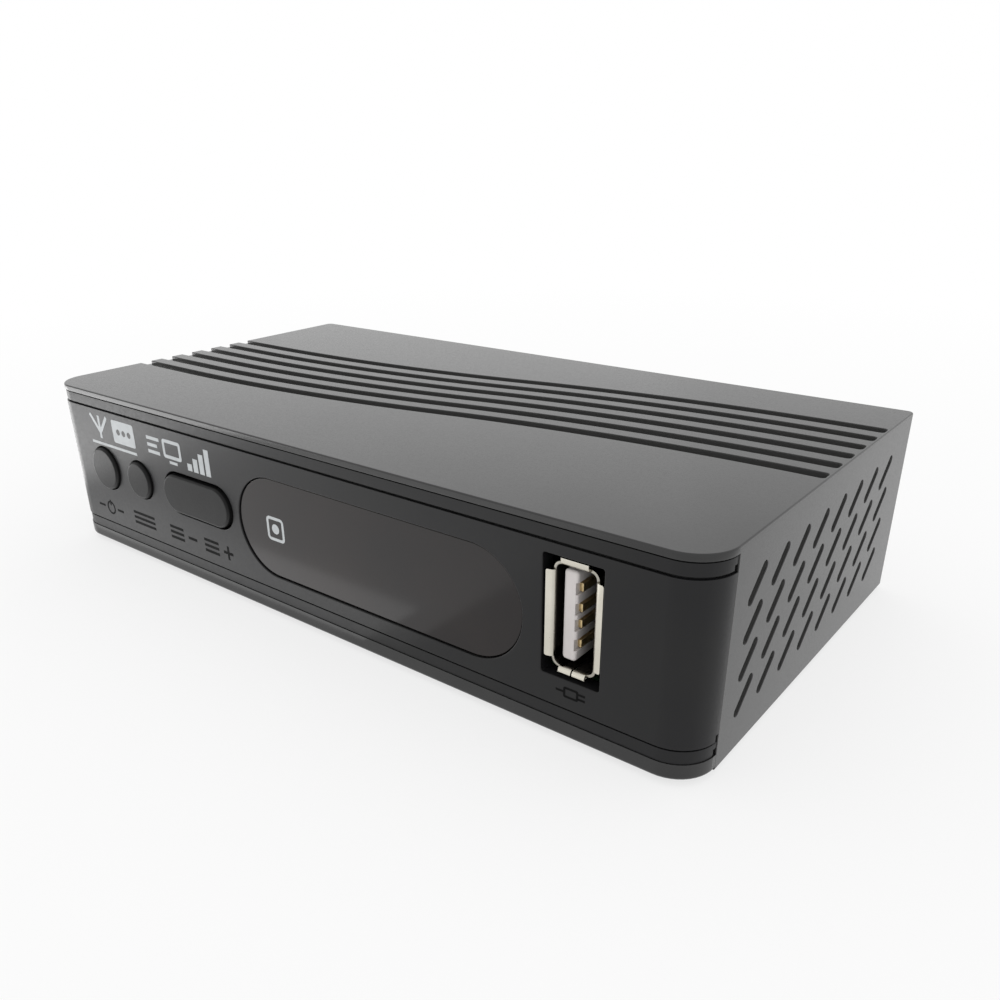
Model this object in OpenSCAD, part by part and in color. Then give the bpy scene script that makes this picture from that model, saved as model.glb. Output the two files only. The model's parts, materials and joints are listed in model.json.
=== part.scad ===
// Small terrestrial television receiver: a shallow desk-top box.
// +Z is up, the front faces -Y, the origin lies under the middle of the part at foot level.

/* [Case] */
// Width of the case across the front
case_w = 120; // [118:1:136]
// Depth of the case from front face to rear face
case_d = 63.3; // [62:0.1:80]
// Height of the case without its feet
case_h = 26.8; // [26.4:0.1:34]
// Radius of the two upright front corners
corner_r = 5; // [3.5:0.1:7]
// Radius of the two upright rear corners
rear_corner_r = 1; // [0.5:0.1:1.8]
// Thickness of the cover's sides and of the front and rear panels
wall_t = 2; // [1.7:0.1:2.4]
// Thickness of the top of the cover
top_t = 2; // [1.7:0.1:2.6]
// Thickness of the base plate
base_t = 2.1; // [1.8:0.1:2.6]
// Gap at the seams between the shells
seam = 0.1; // [0.05:0.05:0.2]

/* [Front panel] */
// Front edge of the cover that shows above the panel
lip_t = 0.9; // [0.6:0.1:1.2]
// Height of the set-back strips above and below the main band
strip_h = 1.9; // [1.4:0.1:2.2]
// Distance that the strips are set back from the main band
strip_set = 0.28; // [0.1:0.02:0.5]
// Height of the shadow line between a strip and the main band
line_h = 0.3; // [0.2:0.05:0.5]
// Depth of the shadow line
line_d = 0.8; // [0.6:0.1:1.2]
// Width of the slits where the panel ends at the cover's sides
slit_w = 0.6; // [0.4:0.1:1]
// Height of the slits
slit_h = 0.9; // [0.6:0.1:1.2]

/* [Top grooves] */
// Number of grooves across the top
groove_count = 6; // [3:1:7]
// Width of a groove
groove_w = 2.1; // [1.5:0.1:3]
// Depth of a groove
groove_depth = 1; // [0.5:0.1:1.2]
// Distance from groove to groove
groove_pitch = 4.38; // [3.6:0.02:4.8]
// Distance that a groove swings back from its left end to its right end
groove_rise = 11.6; // [6:0.2:13]
// Left end of the front groove, from the middle of the case
groove_y = -13.75; // [-16:0.25:-10]
// Straight stretch at the left end
groove_lead = 12; // [6:1:20]
// Land left at the right end
groove_stop = 0.6; // [0.4:0.1:3]

/* [Side vents] */
// Number of vent slots along the side
vent_cols = 8; // [4:1:8]
// Number of vent slots up the side
vent_rows = 4; // [2:1:4]
// Slot spacing along the side
vent_pitch_y = 6.09; // [5.6:0.01:6.3]
// Slot spacing up the side
vent_pitch_z = 4.6; // [4.3:0.1:4.8]
// Width of a slot
vent_w = 1.3; // [0.9:0.1:1.6]
// Distance between the centres of a slot's round ends
vent_run = 4; // [2.5:0.1:4.4]
// Middle of the slot field, from the middle of the case
vent_y = 0.45; // [-1:0.05:2]

/* [Keys] */
// Height of the keys above the panel
key_proud = 1.1; // [0.6:0.1:1.6]
// Gap round a push button
key_gap = 0.2; // [0.1:0.05:0.3]
// Travel of a push button
key_travel = 0.5; // [0.3:0.1:0.6]
// Thickness and overhang of the collar behind the panel
collar_t = 0.8; // [0.6:0.1:1]
// Diameter of the stems that press the switches
stem_d = 3; // [2.4:0.1:3.2]
// Power button diameter
power_d = 7; // [6:0.1:7.6]
// Power button place across the front
power_x = -47.5; // [-48.5:0.1:-47]
// Menu button diameter
menu_d = 6; // [5.4:0.1:6.6]
// Menu button place across the front
menu_x = -37.7; // [-38.2:0.1:-37.2]
// Rocker length
rocker_w = 16; // [14:0.1:16.2]
// Rocker height
rocker_h = 6.2; // [5.6:0.1:6.8]
// Rocker place across the front
rocker_x = -22.75; // [-23.2:0.05:-22.6]
// Gap round the rocker
rocker_gap = 0.35; // [0.3:0.05:0.45]
// Depth of the crease in the middle of the rocker
rocker_crease = 0.3; // [0.1:0.05:0.5]
// Distance from the rocker's pivot to each switch
rocker_arm = 5; // [4.6:0.1:5.4]
// Rocker pivot pin diameter
pivot_d = 1.6; // [1.4:0.1:2]
// Radial clearance of the pivot pin
pivot_fit = 0.06; // [0.02:0.02:0.1]

/* [Display window] */
// Length of the window
window_w = 50.5; // [46:0.5:51]
// Height of the window
window_h = 15; // [13:0.5:16]
// Window place across the front
window_x = 12.35; // [12:0.05:12.6]
// Distance that the lens lies behind the panel's face
window_set = 0.45; // [0.2:0.05:0.8]
// Gap round the lens
window_fit = 0.1; // [0.05:0.05:0.2]
// Rim of the lens behind the panel
lens_rim = 1; // [0.6:0.1:1.1]
// Thickness of the rim
lens_rim_t = 1.2; // [0.8:0.1:1.4]

/* [Data socket] */
// Data socket place across the front
data_x = 44.1; // [43.8:0.1:45]
// Height of the socket's middle above the middle of the band
data_rise = 1.2; // [1:0.1:1.6]
// Short side of the opening
data_w = 5.12; // [5:0.01:5.3]
// Long side of the opening
data_h = 12.5; // [12.3:0.1:12.7]
// Depth of the shell
data_len = 13; // [11:0.5:14]
// Sheet thickness of the metal shells
sheet_t = 0.35; // [0.3:0.05:0.5]
// Width of the flared lips
lip_flare = 1; // [0.7:0.1:1]
// Gap between the lips and the panel's aperture
aperture_gap = 0.3; // [0.2:0.05:0.4]
// Thickness of the tongue
tongue_t = 1.84; // [1.7:0.02:1.9]
// Length of the tongue's long side
tongue_h = 11.2; // [11:0.1:11.4]

/* [Boards] */
// Thickness of the boards
board_t = 1.6; // [1.2:0.2:1.6]
// Gap between the data socket and the main board under it
data_stand = 1; // [0.5:0.1:1.5]
// Height of a key switch without its plunger
switch_h = 3.5; // [3.2:0.1:3.8]
// Side of a key switch
switch_w = 6; // [5.6:0.1:6]
// Height that a plunger stands out of its switch
plunger_out = 1.5; // [1.2:0.1:1.8]
// Plunger diameter
plunger_d = 3.4; // [3:0.1:3.6]

/* [Rear sockets] */
// Distance that the aerial sockets stand out behind the case
aerial_proud = 9.5; // [8:0.1:12]
// Distance of the aerial input from the side of the case
aerial_side = 18; // [17:0.5:19]
// Distance from the aerial input to the loop-through
loop_step = 16; // [15.5:0.5:16.5]
// Distance of the power inlet from the other side of the case
inlet_side = 29; // [27:0.5:30]
// Distance from the power inlet to the audio and video jack
jack_step = 18; // [17:0.5:18.5]
// Gap round the sockets in the rear panel
socket_gap = 0.3; // [0.2:0.05:0.5]

/* [Feet and screws] */
// Height of the feet below the case
foot_h = 0.8; // [0.5:0.1:2]
// Foot diameter
foot_d = 8; // [6:0.5:10]
// Distance of the feet from the side of the case
foot_side = 16; // [14:0.5:18]
// Distance of the feet from the front and rear of the case
foot_end = 9; // [7.5:0.5:12]
// Depth of the recess that a foot is glued into
foot_sink = 0.3; // [0.2:0.1:0.6]
// Diameter of the cover's screw bosses
boss_d = 6; // [5:0.2:6.4]
// Case screw shank diameter
screw_d = 2.6; // [2.2:0.1:2.8]
// Board screw shank diameter
board_screw_d = 2.2; // [2:0.1:2.4]
// Radial clearance of the screws
screw_fit = 0.05; // [0.02:0.01:0.1]

/* [Hidden] */
$fn = 64;
arc_fn = 360;
tiny = 0.01;
past = 1;

hw = case_w / 2;
hd = case_d / 2;
shift_y = (key_proud - aerial_proud) / 2;
inner_w = hw - wall_t;
corner_y = corner_r - hd;
panel_top = case_h - lip_t;
roof = case_h - top_t;
band_low = base_t + strip_h;
band_high = panel_top - strip_h;
band_mid = (band_low + band_high) / 2;

// Levels behind the front face, from the panel back to the display board
collar_gap = 0.15;
collar_over = 1;
stem_len = 1.55;
stem_end = wall_t + collar_gap + collar_t + stem_len;
display_at = stem_end + plunger_out + switch_h;

// Rocker pivot and the ears that carry it
pivot_at = wall_t + 1.1;
pivot_reach = 1.5;
ear_w = 3.4;
ear_t = 1.6;
ear_gap = 0.1;
rocker_back = wall_t + 0.5;
rocker_stem_gap = 0.12;

// Lens, with the light and the digits behind it
board_gap = 0.3;
window_drop = 0.4;
window_z = band_mid - window_drop;
lens_back = wall_t + lens_rim_t;
light_x = window_x + window_w / 2 - 2.5;
light_rim_r = 1.9;
digits = [30, 14];
digits_x = light_x - light_rim_r - board_gap - digits.x / 2;

// Data socket
data_z = band_mid + data_rise;
lip_root = 0.75;
lip_tip = 0.3;
lip_seam = 0.15;
lip_inset = 0.7;
aperture_w = data_w + 2 * (lip_flare + aperture_gap);
aperture_h = data_h + 2 * (lip_flare + aperture_gap) - 0.2;
tongue_gap = 0.72;
tongue_set = 1.2;
tongue_x = data_x - data_w / 2 + tongue_gap;
plug_fit = 0.05;
data_block = 3.4;
contact_w = 1;
contact_t = 0.25;
data_contact_z = [-3.5, -1, 1, 3.5];
leg_len = 2;
leg_y = [3, 9];

// Boards
board_edge = 4;
display_x0 = power_x - power_d / 2 - board_edge;
display_x1 = data_x - aperture_w / 2 - past;
display_z0 = base_t + 1.9;
display_z1 = roof - 1.2;
deck = data_z - data_h / 2 - sheet_t - data_stand;
main_z = deck - board_t;
post_h = main_z - base_t;
boss_x = inner_w - past - boss_d / 2;
boss_front = 17;
boss_rear = 8;
boss_places = [for (s = [-1, 1], y = [boss_front - hd, hd - boss_rear]) [s * boss_x, y]];
main_w = boss_x - boss_d / 2 - board_gap;
main_y0 = display_at + board_t + board_gap - hd;
main_y1 = hd - wall_t - board_gap;
tab_x0 = display_x1 + board_gap;
tab_x1 = data_x + aperture_w / 2 + past;
tab_y0 = wall_t + board_gap - hd;
hole_side = 4.5;
hole_front = 18;
hole_rear = 9;
aerial_x = aerial_side - hw;
loop_x = aerial_x + loop_step;
inlet_x = hw - inlet_side;
jack_x = inlet_x - jack_step;
hole_between = inlet_x - jack_step / 2;
hole_x = main_w - hole_side;
hole_places = [[-hole_x, hole_front - hd], [hole_x, hole_front - hd],
               [hole_between, hd - hole_rear], [hole_x, hd - hole_rear]];
hole_clear = 0.4;
post_d = 5.6;

// Rear sockets
rear_gap = 1;
rear_root = hd - wall_t - rear_gap;
can_over = 7.6;
can_x0 = aerial_x - can_over;
can_x1 = loop_x + can_over;
can_len = 27;
can_h = 13;
can_y0 = rear_root - can_len;
aerial_z = deck + can_h / 2;
barrel_r = 5.4;
female_r = 4.8;
male_r = 4.7625;
male_inner_r = 4.1;
disc_t = 3;
contact_r = 1.8;
contact_bore_r = 1.2;
contact_short = 1.5;
loop_pin_r = 1.185;
video_w = 14;
video_h = 4.55;
video_cut = 1.3;
video_len = 11;
video_proud = 0.4;
video_block = 4;
video_tongue = [11.2, 1.2];
video_z = deck + video_h / 2 + sheet_t + 0.1;
video_cell = 1;
jack_r = 1.8;
jack_nose_r = 3;
jack_nose = 1;
jack_len = 12;
jack_box = [7.6, 6.6];
jack_bore = 14;
jack_z = deck + jack_box.y / 2;
video_x = (can_x1 + jack_x - jack_box.x / 2) / 2;
inlet_box = [9, 11];
inlet_len = 14;
inlet_rise = 6.5;
inlet_r = 3.1;
inlet_deep = 10;
inlet_pin_r = 1;
inlet_pin_len = 9;
inlet_slot = [2.4, 0.9];
inlet_leaf = [2, 0.3, 8];

// Pieces on the main board, with their steps from the processor
chip_at = [6, 3];
chip = [16, 16, 1.4];
pad = [14, 14, 0.5];
sink_side = 20;
sink_foot = 2;
fin_t = 1;
fin_h = 5.5;
memory = [9, 13, 1.2];
memory_step = 18;
flash = [5.2, 5.2, 1.6];
flash_step = [28, -3];
regulator = [4, 5, 1.5];
regulator_step = [35, 4];
crystal_can = [10.5, 4.4, 3.5];
crystal_step = 14;
cap_r = 3.15;
cap_h = 9;
cap_neck_r = 2.8;
cap_neck = [1.6, 2.2];
cap_apart = 8;
cap_clear = 1.5;
cap_step = 18;
cap_aside = 1;
coil_side = 7;
coil_foot = 1;
coil_r = 3.2;
coil_h = 3;
coil_step = [24, -11];
coil_apart = 9;

// Digits of the display, remote control receiver and the link between the boards
digit = [4.4, 8.4];
digit_step = 7;
stroke = 0.9;
digit_cut = 0.3;
receiver = [5.6, 2.6, 6.8];
receiver_r = 2.4;
link = [20, 2.5, 2.5];
link_pin = 0.6;
link_reach = 2;

// Feet and screws
foot_places = [for (sx = [-1, 1], sy = [-1, 1]) [sx * (hw - foot_side), sy * (hd - foot_end)]];
foot_fit = 0.1;
head_h = 1.2;
head_r = screw_d;
head_gap = 0.2;
screw_len = 10;
board_head_h = 1.7;
board_screw_len = 4.6;
cross_w = 0.6;
cross_t = 0.6;

// Case to part: the feet stand on the origin's level
module in_case() {
    translate([0, shift_y, foot_h])
        children();
}

// Box between two opposite corners
module box(low, high) {
    translate(low)
        cube(high - low);
}

// Round bar along +Y from a start point
module bar_y(at, r, len) {
    translate(at)
        rotate([-90, 0, 0])
            cylinder(r = r, h = len);
}

// Upright round bar from a start point
module bar_z(at, r, len) {
    translate(at)
        cylinder(r = r, h = len);
}

// Bar along +Y with a long outline and round ends
module pill_y(at, w, h, len) {
    run = (w - h) / 2;
    box([at.x - run, at.y, at.z - h / 2], [at.x + run, at.y + len, at.z + h / 2]);
    for (s = [-1, 1])
        bar_y([at.x + s * run, at.y, at.z], h / 2, len);
}

// Outline drawn in X and Z, carried back along +Y from a start point
module prism_y(at, len) {
    translate([at.x, at.y + len, at.z])
        rotate([90, 0, 0])
            linear_extrude(len)
                children();
}

// Outline of the case from above, moved in by inset, with square rear corners
module plan(inset) {
    centre_x = hw - corner_r;
    translate([-centre_x, inset - hd])
        square([2 * centre_x, case_d - inset]);
    translate([inset - hw, corner_y])
        square([2 * (hw - inset), hd - corner_y]);
    for (s = [-1, 1])
        translate([s * centre_x, corner_y])
            circle(corner_r - inset);
}

// One slice of the front panel, with its face moved in by inset
module panel_slice(low, high, inset) {
    translate([0, 0, low])
        linear_extrude(high - low)
            difference() {
                plan(inset);
                plan(wall_t);
            }
}

// Screw that points up, with its head at the bottom and a cross in it
module screw_up(head, head_t, shank, len) {
    difference() {
        union() {
            cylinder(r = head, h = head_t);
            cylinder(r = shank, h = len);
        }
        for (a = [0, 90])
            rotate(a)
                box([-head * cross_w, -cross_t / 2, -past], [head * cross_w, cross_t / 2, head_t / 2]);
    }
}

// Chamfered outline of the digital video socket
module video_outline(grow) {
    half_w = video_w / 2 + grow;
    half_h = video_h / 2 + grow;
    polygon([
        [-half_w, half_h],
        [half_w, half_h],
        [half_w, video_cut - half_h],
        [half_w - video_cut, -half_h],
        [video_cut - half_w, -half_h],
        [-half_w, video_cut - half_h]
    ]);
}

// S-shaped cutters for the top, each of two arcs, joined in the middle by a straight piece a shade wider
module top_grooves() {
    x0 = groove_lead - hw;
    x1 = hw - groove_stop - groove_w / 2;
    half = (x1 - x0) / 2;
    bend_r = (half * half + groove_rise * groove_rise / 4) / groove_rise;
    sweep = asin(half / bend_r);
    tall = groove_depth + past;
    join = [0.5, groove_w / 2 + tiny];
    for (i = [0 : groove_count - 1])
        translate([0, groove_y + i * groove_pitch, case_h - groove_depth]) {
            box([-hw - past, -groove_w / 2, 0], [x0, groove_w / 2, tall]);
            translate([x0 + half, groove_rise / 2, 0])
                rotate(sweep)
                    box([-join.x, -join.y, 0], [join.x, join.y, tall]);
            translate([x0, bend_r, 0])
                rotate(-90)
                    groove_arc(bend_r, sweep, tall);
            translate([x1, groove_rise - bend_r, 0])
                rotate(90)
                    groove_arc(bend_r, sweep, tall);
            translate([x1, groove_rise, 0])
                cylinder(d = groove_w, h = tall);
        }
}

// One arc of a groove
module groove_arc(bend_r, sweep, tall) {
    rotate_extrude(angle = sweep, $fn = arc_fn)
        translate([bend_r - groove_w / 2, 0])
            square([groove_w, tall]);
}

// Slanted slots through both sides
module side_vents() {
    for (s = [-1, 1], c = [0 : vent_cols - 1], r = [0 : vent_rows - 1])
        translate([
            s * (hw - wall_t / 2),
            vent_y + (c - (vent_cols - 1) / 2) * vent_pitch_y,
            window_z + (r - (vent_rows - 1) / 2) * vent_pitch_z
        ])
            rotate([45, 0, 0])
                vent_slot(wall_t + past);
}

// One slot, lying along Y, cut along X
module vent_slot(deep) {
    cube([deep, vent_run, vent_w], center = true);
    for (e = [-1, 1])
        translate([0, e * vent_run / 2, 0])
            rotate([0, 90, 0])
                cylinder(d = vent_w, h = deep, center = true);
}

// What is cut away to round the two rear corners of the cover
module rear_corners() {
    for (s = [-1, 1])
        translate([s * (hw - rear_corner_r), hd - rear_corner_r, -past])
            difference() {
                box([s < 0 ? -past - rear_corner_r : 0, 0, 0],
                    [s < 0 ? 0 : past + rear_corner_r, past + rear_corner_r, case_h + 2 * past]);
                cylinder(r = rear_corner_r, h = case_h + 2 * past);
            }
}

// Cover: grooved top, both sides with vents, and bosses for the case screws
module top_cover() {
    color("dimgray") in_case()
        difference() {
            union() {
                translate([0, 0, panel_top])
                    linear_extrude(lip_t)
                        plan(0);
                translate([0, 0, roof])
                    linear_extrude(top_t - lip_t)
                        plan(wall_t + seam);
                box([-hw, corner_y + seam, roof], [hw, hd, panel_top]);
                for (x = [-hw, inner_w])
                    box([x, corner_y + seam, 0], [x + wall_t, hd, roof]);
                for (p = boss_places)
                    bar_z([p.x, p.y, base_t], boss_d / 2, roof - base_t);
            }
            top_grooves();
            side_vents();
            rear_corners();
            for (p = boss_places)
                bar_z([p.x, p.y, base_t - past], screw_d / 2, screw_len + past);
        }
}

// Base plate with the posts for the main board, screw holes, vents and recesses for the feet
module base_plate() {
    vent_count = 9;
    vent_step = 4;
    vent_long = 22;
    vent_wide = 1.6;
    rest_w = 4;
    rest_over = 0.4;
    color("dimgray") in_case()
        difference() {
            union() {
                difference() {
                    linear_extrude(base_t)
                        plan(0);
                    box([-hw - past, corner_y, -past], [hw + past, hd + past, base_t + past]);
                }
                box([seam - inner_w, corner_y - tiny, 0], [inner_w - seam, hd, base_t]);
                for (p = hole_places)
                    bar_z([p.x, p.y, base_t - tiny], post_d / 2, post_h + tiny);
                for (x = [display_x0 + board_edge, display_x1 - board_edge])
                    box([x - rest_w / 2, display_at - rest_over - hd, base_t - tiny],
                        [x + rest_w / 2, display_at + board_t - hd, display_z0]);
            }
            for (p = boss_places) {
                bar_z([p.x, p.y, -past], head_r + head_gap, head_h + past);
                bar_z([p.x, p.y, -past], screw_d / 2 + screw_fit, base_t + 2 * past);
            }
            for (p = hole_places)
                bar_z([p.x, p.y, base_t], board_screw_d / 2, post_h + past);
            for (p = foot_places)
                bar_z([p.x, p.y, -past], foot_d / 2 + foot_fit, foot_sink + past);
            for (i = [0 : vent_count - 1])
                translate([(i - (vent_count - 1) / 2) * vent_step, 0, -past])
                    linear_extrude(base_t + 2 * past) {
                        square([vent_wide, vent_long], center = true);
                        for (e = [-1, 1])
                            translate([0, e * vent_long / 2])
                                circle(d = vent_wide);
                    }
        }
}

// Front panel that wraps round both corners, with its openings and the rocker's ears
module front_panel() {
    slit_levels = [base_t, band_low, band_high];
    ear_z = rocker_h / 2 + rocker_gap + ear_gap;
    color("black") in_case()
        difference() {
            union() {
                panel_slice(base_t, band_low - line_h, strip_set);
                panel_slice(band_low - line_h, band_low, line_d);
                panel_slice(band_low, band_high, 0);
                panel_slice(band_high, band_high + line_h, line_d);
                panel_slice(band_high + line_h, panel_top, strip_set);
                for (s = [-1, 1])
                    translate([rocker_x, 0, band_mid + s * (ear_z + ear_t / 2)])
                        box([-ear_w / 2, wall_t - tiny - hd, -ear_t / 2],
                            [ear_w / 2, pivot_at + ear_w / 2 - hd, ear_t / 2]);
            }
            box([-hw - past, corner_y, -past], [hw + past, hd + past, case_h + past]);
            for (s = [-1, 1], z = slit_levels)
                translate([s * hw, corner_y - slit_w, z])
                    box([-wall_t - past, 0, 0], [wall_t + past, slit_w + past, slit_h]);
            bar_y([power_x, -hd - past, band_mid], power_d / 2 + key_gap, wall_t + 2 * past);
            bar_y([menu_x, -hd - past, band_mid], menu_d / 2 + key_gap, wall_t + 2 * past);
            pill_y([rocker_x, -hd - past, band_mid], rocker_w + 2 * rocker_gap,
                rocker_h + 2 * rocker_gap, wall_t + past + tiny);
            pill_y([window_x, -hd - past, window_z], window_w, window_h, wall_t + 2 * past);
            box([data_x - aperture_w / 2, -hd - past, data_z - aperture_h / 2],
                [data_x + aperture_w / 2, past + wall_t - hd, data_z + aperture_h / 2]);
            bar_z([rocker_x, pivot_at - hd, band_mid - ear_z - ear_t - past],
                pivot_d / 2 + pivot_fit, 2 * (ear_z + ear_t + past));
        }
}

// Rear panel with the openings for its sockets
module rear_panel() {
    deep = wall_t + 2 * past;
    y = hd - wall_t - past;
    color("dimgray") in_case()
        difference() {
            box([seam - inner_w, hd - wall_t, base_t], [inner_w - seam, hd, roof]);
            for (x = [aerial_x, loop_x])
                bar_y([x, y, aerial_z], barrel_r + socket_gap, deep);
            prism_y([video_x, y, video_z], deep)
                video_outline(sheet_t + socket_gap);
            bar_y([jack_x, y, jack_z], jack_nose_r + socket_gap, deep);
            box([inlet_x - inlet_box.x / 2 - socket_gap, y, deck - socket_gap],
                [inlet_x + inlet_box.x / 2 + socket_gap, y + deep, deck + inlet_box.y + socket_gap]);
        }
}

// Dark lens in front of the digits, with a rim behind the panel
module display_window() {
    color([0.1, 0.09, 0.09]) in_case() {
        pill_y([window_x, window_set - hd, window_z], window_w - 2 * window_fit,
            window_h - 2 * window_fit, wall_t - window_set + tiny);
        pill_y([window_x, wall_t - hd, window_z], window_w + 2 * lens_rim,
            window_h + 2 * lens_rim, lens_rim_t);
    }
}

// Push button: cap, collar behind the panel and stem
module push_button(x, d) {
    collar_at = wall_t + collar_gap;
    bar_y([x, -key_proud - hd, band_mid], d / 2, key_proud + collar_at + tiny);
    bar_y([x, collar_at - hd, band_mid], d / 2 + collar_over, collar_t);
    bar_y([x, collar_at - hd, band_mid], stem_d / 2, stem_end - collar_at);
}

module power_button() {
    color([0.12, 0.12, 0.13]) in_case()
        push_button(power_x, power_d);
}

module menu_button() {
    color([0.12, 0.12, 0.13]) in_case()
        push_button(menu_x, menu_d);
}

// Rocker: two facets that meet in a crease, a pivot pin above and below, and two stems
module channel_rocker() {
    pin_z = rocker_h / 2 + pivot_reach;
    face = -key_proud - hd;
    color([0.12, 0.12, 0.13]) in_case() {
        difference() {
            pill_y([rocker_x, face, band_mid], rocker_w, rocker_h, key_proud + rocker_back);
            translate([rocker_x, face, band_mid - rocker_h])
                linear_extrude(2 * rocker_h)
                    polygon([[-rocker_w, -past], [rocker_w, -past], [rocker_w / 2, 0],
                             [0, rocker_crease], [-rocker_w / 2, 0]]);
        }
        bar_z([rocker_x, pivot_at - hd, band_mid - pin_z], pivot_d / 2, 2 * pin_z);
        for (s = [-1, 1])
            bar_y([rocker_x + s * rocker_arm, rocker_back - tiny - hd, band_mid], stem_d / 2,
                stem_end - rocker_stem_gap - rocker_back + tiny);
    }
}

// Key switch on the display board, with a well for its plunger
module key_switch(x) {
    well = plunger_d / 2 + plug_fit;
    deep = switch_h - 0.8;
    front = display_at - switch_h - hd;
    color([0.16, 0.16, 0.17]) in_case()
        difference() {
            box([x - switch_w / 2, front, band_mid - switch_w / 2],
                [x + switch_w / 2, display_at - hd, band_mid + switch_w / 2]);
            bar_y([x, front - past, band_mid], well, deep + past);
        }
}

// Plunger of a key switch, with room behind it to travel
module plunger(x) {
    spare = key_travel + 0.3;
    deep = switch_h - 0.8 - spare;
    color([0.75, 0.72, 0.66]) in_case()
        bar_y([x, stem_end - hd, band_mid], plunger_d / 2, plunger_out + deep);
}

// Upright board behind the front panel
module display_board() {
    color("darkgreen") in_case()
        box([display_x0, display_at - hd, display_z0], [display_x1, display_at + board_t - hd, display_z1]);
}

// Four-digit module with its digits as shallow recesses in the face
module digit_display() {
    front = lens_back + board_gap + 0.1 - hd;
    color("white") in_case()
        difference() {
            box([digits_x - digits.x / 2, front, window_z - digits.y / 2],
                [digits_x + digits.x / 2, display_at - hd, window_z + digits.y / 2]);
            for (i = [-1.5, -0.5, 0.5, 1.5])
                translate([digits_x + i * digit_step, front - past, window_z]) {
                    for (s = [-1, 0, 1])
                        box([(stroke - digit.x) / 2, 0, (s * digit.y - stroke) / 2],
                            [(digit.x - stroke) / 2, past + digit_cut, (s * digit.y + stroke) / 2]);
                    for (sx = [-1, 1], sz = [-1, 1])
                        translate([sx * digit.x / 2, 0, sz * digit.y / 4])
                            box([-stroke / 2, 0, stroke - digit.y / 4],
                                [stroke / 2, past + digit_cut, digit.y / 4 - stroke]);
                }
        }
}

// Receiver for the remote control, with a round lens towards the window
module infrared_receiver() {
    face = display_at - receiver.y - hd;
    at = [window_x - window_w / 2 + window_h / 2, display_at - hd, window_z];
    color([0.08, 0.07, 0.09]) in_case() {
        box([at.x - receiver.x / 2, face, at.z - receiver.z / 2],
            [at.x + receiver.x / 2, at.y, at.z + receiver.z / 2]);
        difference() {
            translate([at.x, face, at.z])
                sphere(receiver_r);
            box([at.x - past - receiver_r, face + tiny, at.z - past - receiver_r],
                [at.x + past + receiver_r, at.y + receiver_r, at.z + past + receiver_r]);
        }
    }
}

// Standby light at the other end of the window
module standby_light() {
    r = 1.5;
    rim_t = 0.8;
    at = [light_x, display_at - hd, window_z];
    len = display_at - lens_back - 2;
    color("red") in_case() {
        bar_y([at.x, at.y - len, at.z], r, len);
        bar_y([at.x, at.y - rim_t, at.z], light_rim_r, rim_t);
        difference() {
            translate([at.x, at.y - len, at.z])
                sphere(r);
            box([at.x - 2 * r, at.y - len + tiny, at.z - 2 * r], [at.x + 2 * r, at.y, at.z + 2 * r]);
        }
    }
}

// Row of pins in a block that joins the display board to the main board
module board_link() {
    pins = 8;
    step = link.x / pins;
    middle = (power_x + rocker_x) / 2;
    y = display_at + board_t - hd;
    color([0.1, 0.1, 0.1]) in_case() {
        box([middle - link.x / 2, y, deck], [middle + link.x / 2, y + link.y, deck + link.z]);
        for (i = [0 : pins - 1])
            translate([middle + (i - (pins - 1) / 2) * step, y + link.y - tiny, deck])
                box([-link_pin / 2, 0, 0], [link_pin / 2, link_reach + tiny, link_pin]);
    }
}

// Main board with a tongue that carries the data socket at the front
module main_board() {
    color("darkgreen") in_case()
        difference() {
            union() {
                box([-main_w, main_y0, main_z], [main_w, main_y1, deck]);
                box([tab_x0, tab_y0, main_z], [tab_x1, main_y0 + tiny, deck]);
            }
            for (p = hole_places)
                bar_z([p.x, p.y, main_z - past], board_screw_d / 2 + hole_clear, board_t + 2 * past);
        }
}

// Flat chip that lies on the main board
module flat_chip(at, size) {
    box([at.x - size.x / 2, at.y - size.y / 2, deck], [at.x + size.x / 2, at.y + size.y / 2, deck + size.z]);
}

module processor() {
    color([0.09, 0.09, 0.1]) in_case()
        flat_chip(chip_at, chip);
}

module thermal_pad() {
    z = deck + chip.z;
    color("lightblue") in_case()
        box([chip_at.x - pad.x / 2, chip_at.y - pad.y / 2, z],
            [chip_at.x + pad.x / 2, chip_at.y + pad.y / 2, z + pad.z]);
}

// Finned block on the processor
module heat_sink() {
    fins = 7;
    z = deck + chip.z + pad.z;
    step = (sink_side - fin_t) / (fins - 1);
    color("silver") in_case()
        translate([chip_at.x - sink_side / 2, chip_at.y - sink_side / 2, z]) {
            cube([sink_side, sink_side, sink_foot]);
            for (i = [0 : fins - 1])
                translate([i * step, 0, sink_foot - tiny])
                    cube([fin_t, sink_side, fin_h + tiny]);
        }
}

module memory_chip() {
    color([0.09, 0.09, 0.1]) in_case()
        flat_chip([chip_at.x + memory_step, chip_at.y], memory);
}

module flash_chip() {
    color([0.09, 0.09, 0.1]) in_case()
        flat_chip(chip_at + flash_step, flash);
}

module regulators() {
    color([0.09, 0.09, 0.1]) in_case()
        for (s = [-1, 1])
            flat_chip([chip_at.x + regulator_step.x, chip_at.y + s * regulator_step.y], regulator);
}

// Clock crystal in its rounded can
module crystal() {
    run = (crystal_can.x - crystal_can.y) / 2;
    color("silver") in_case()
        translate([chip_at.x, chip_at.y - crystal_step, deck])
            linear_extrude(crystal_can.z) {
                square([2 * run, crystal_can.y], center = true);
                for (s = [-1, 1])
                    translate([s * run, 0])
                        circle(d = crystal_can.y);
            }
}

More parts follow.
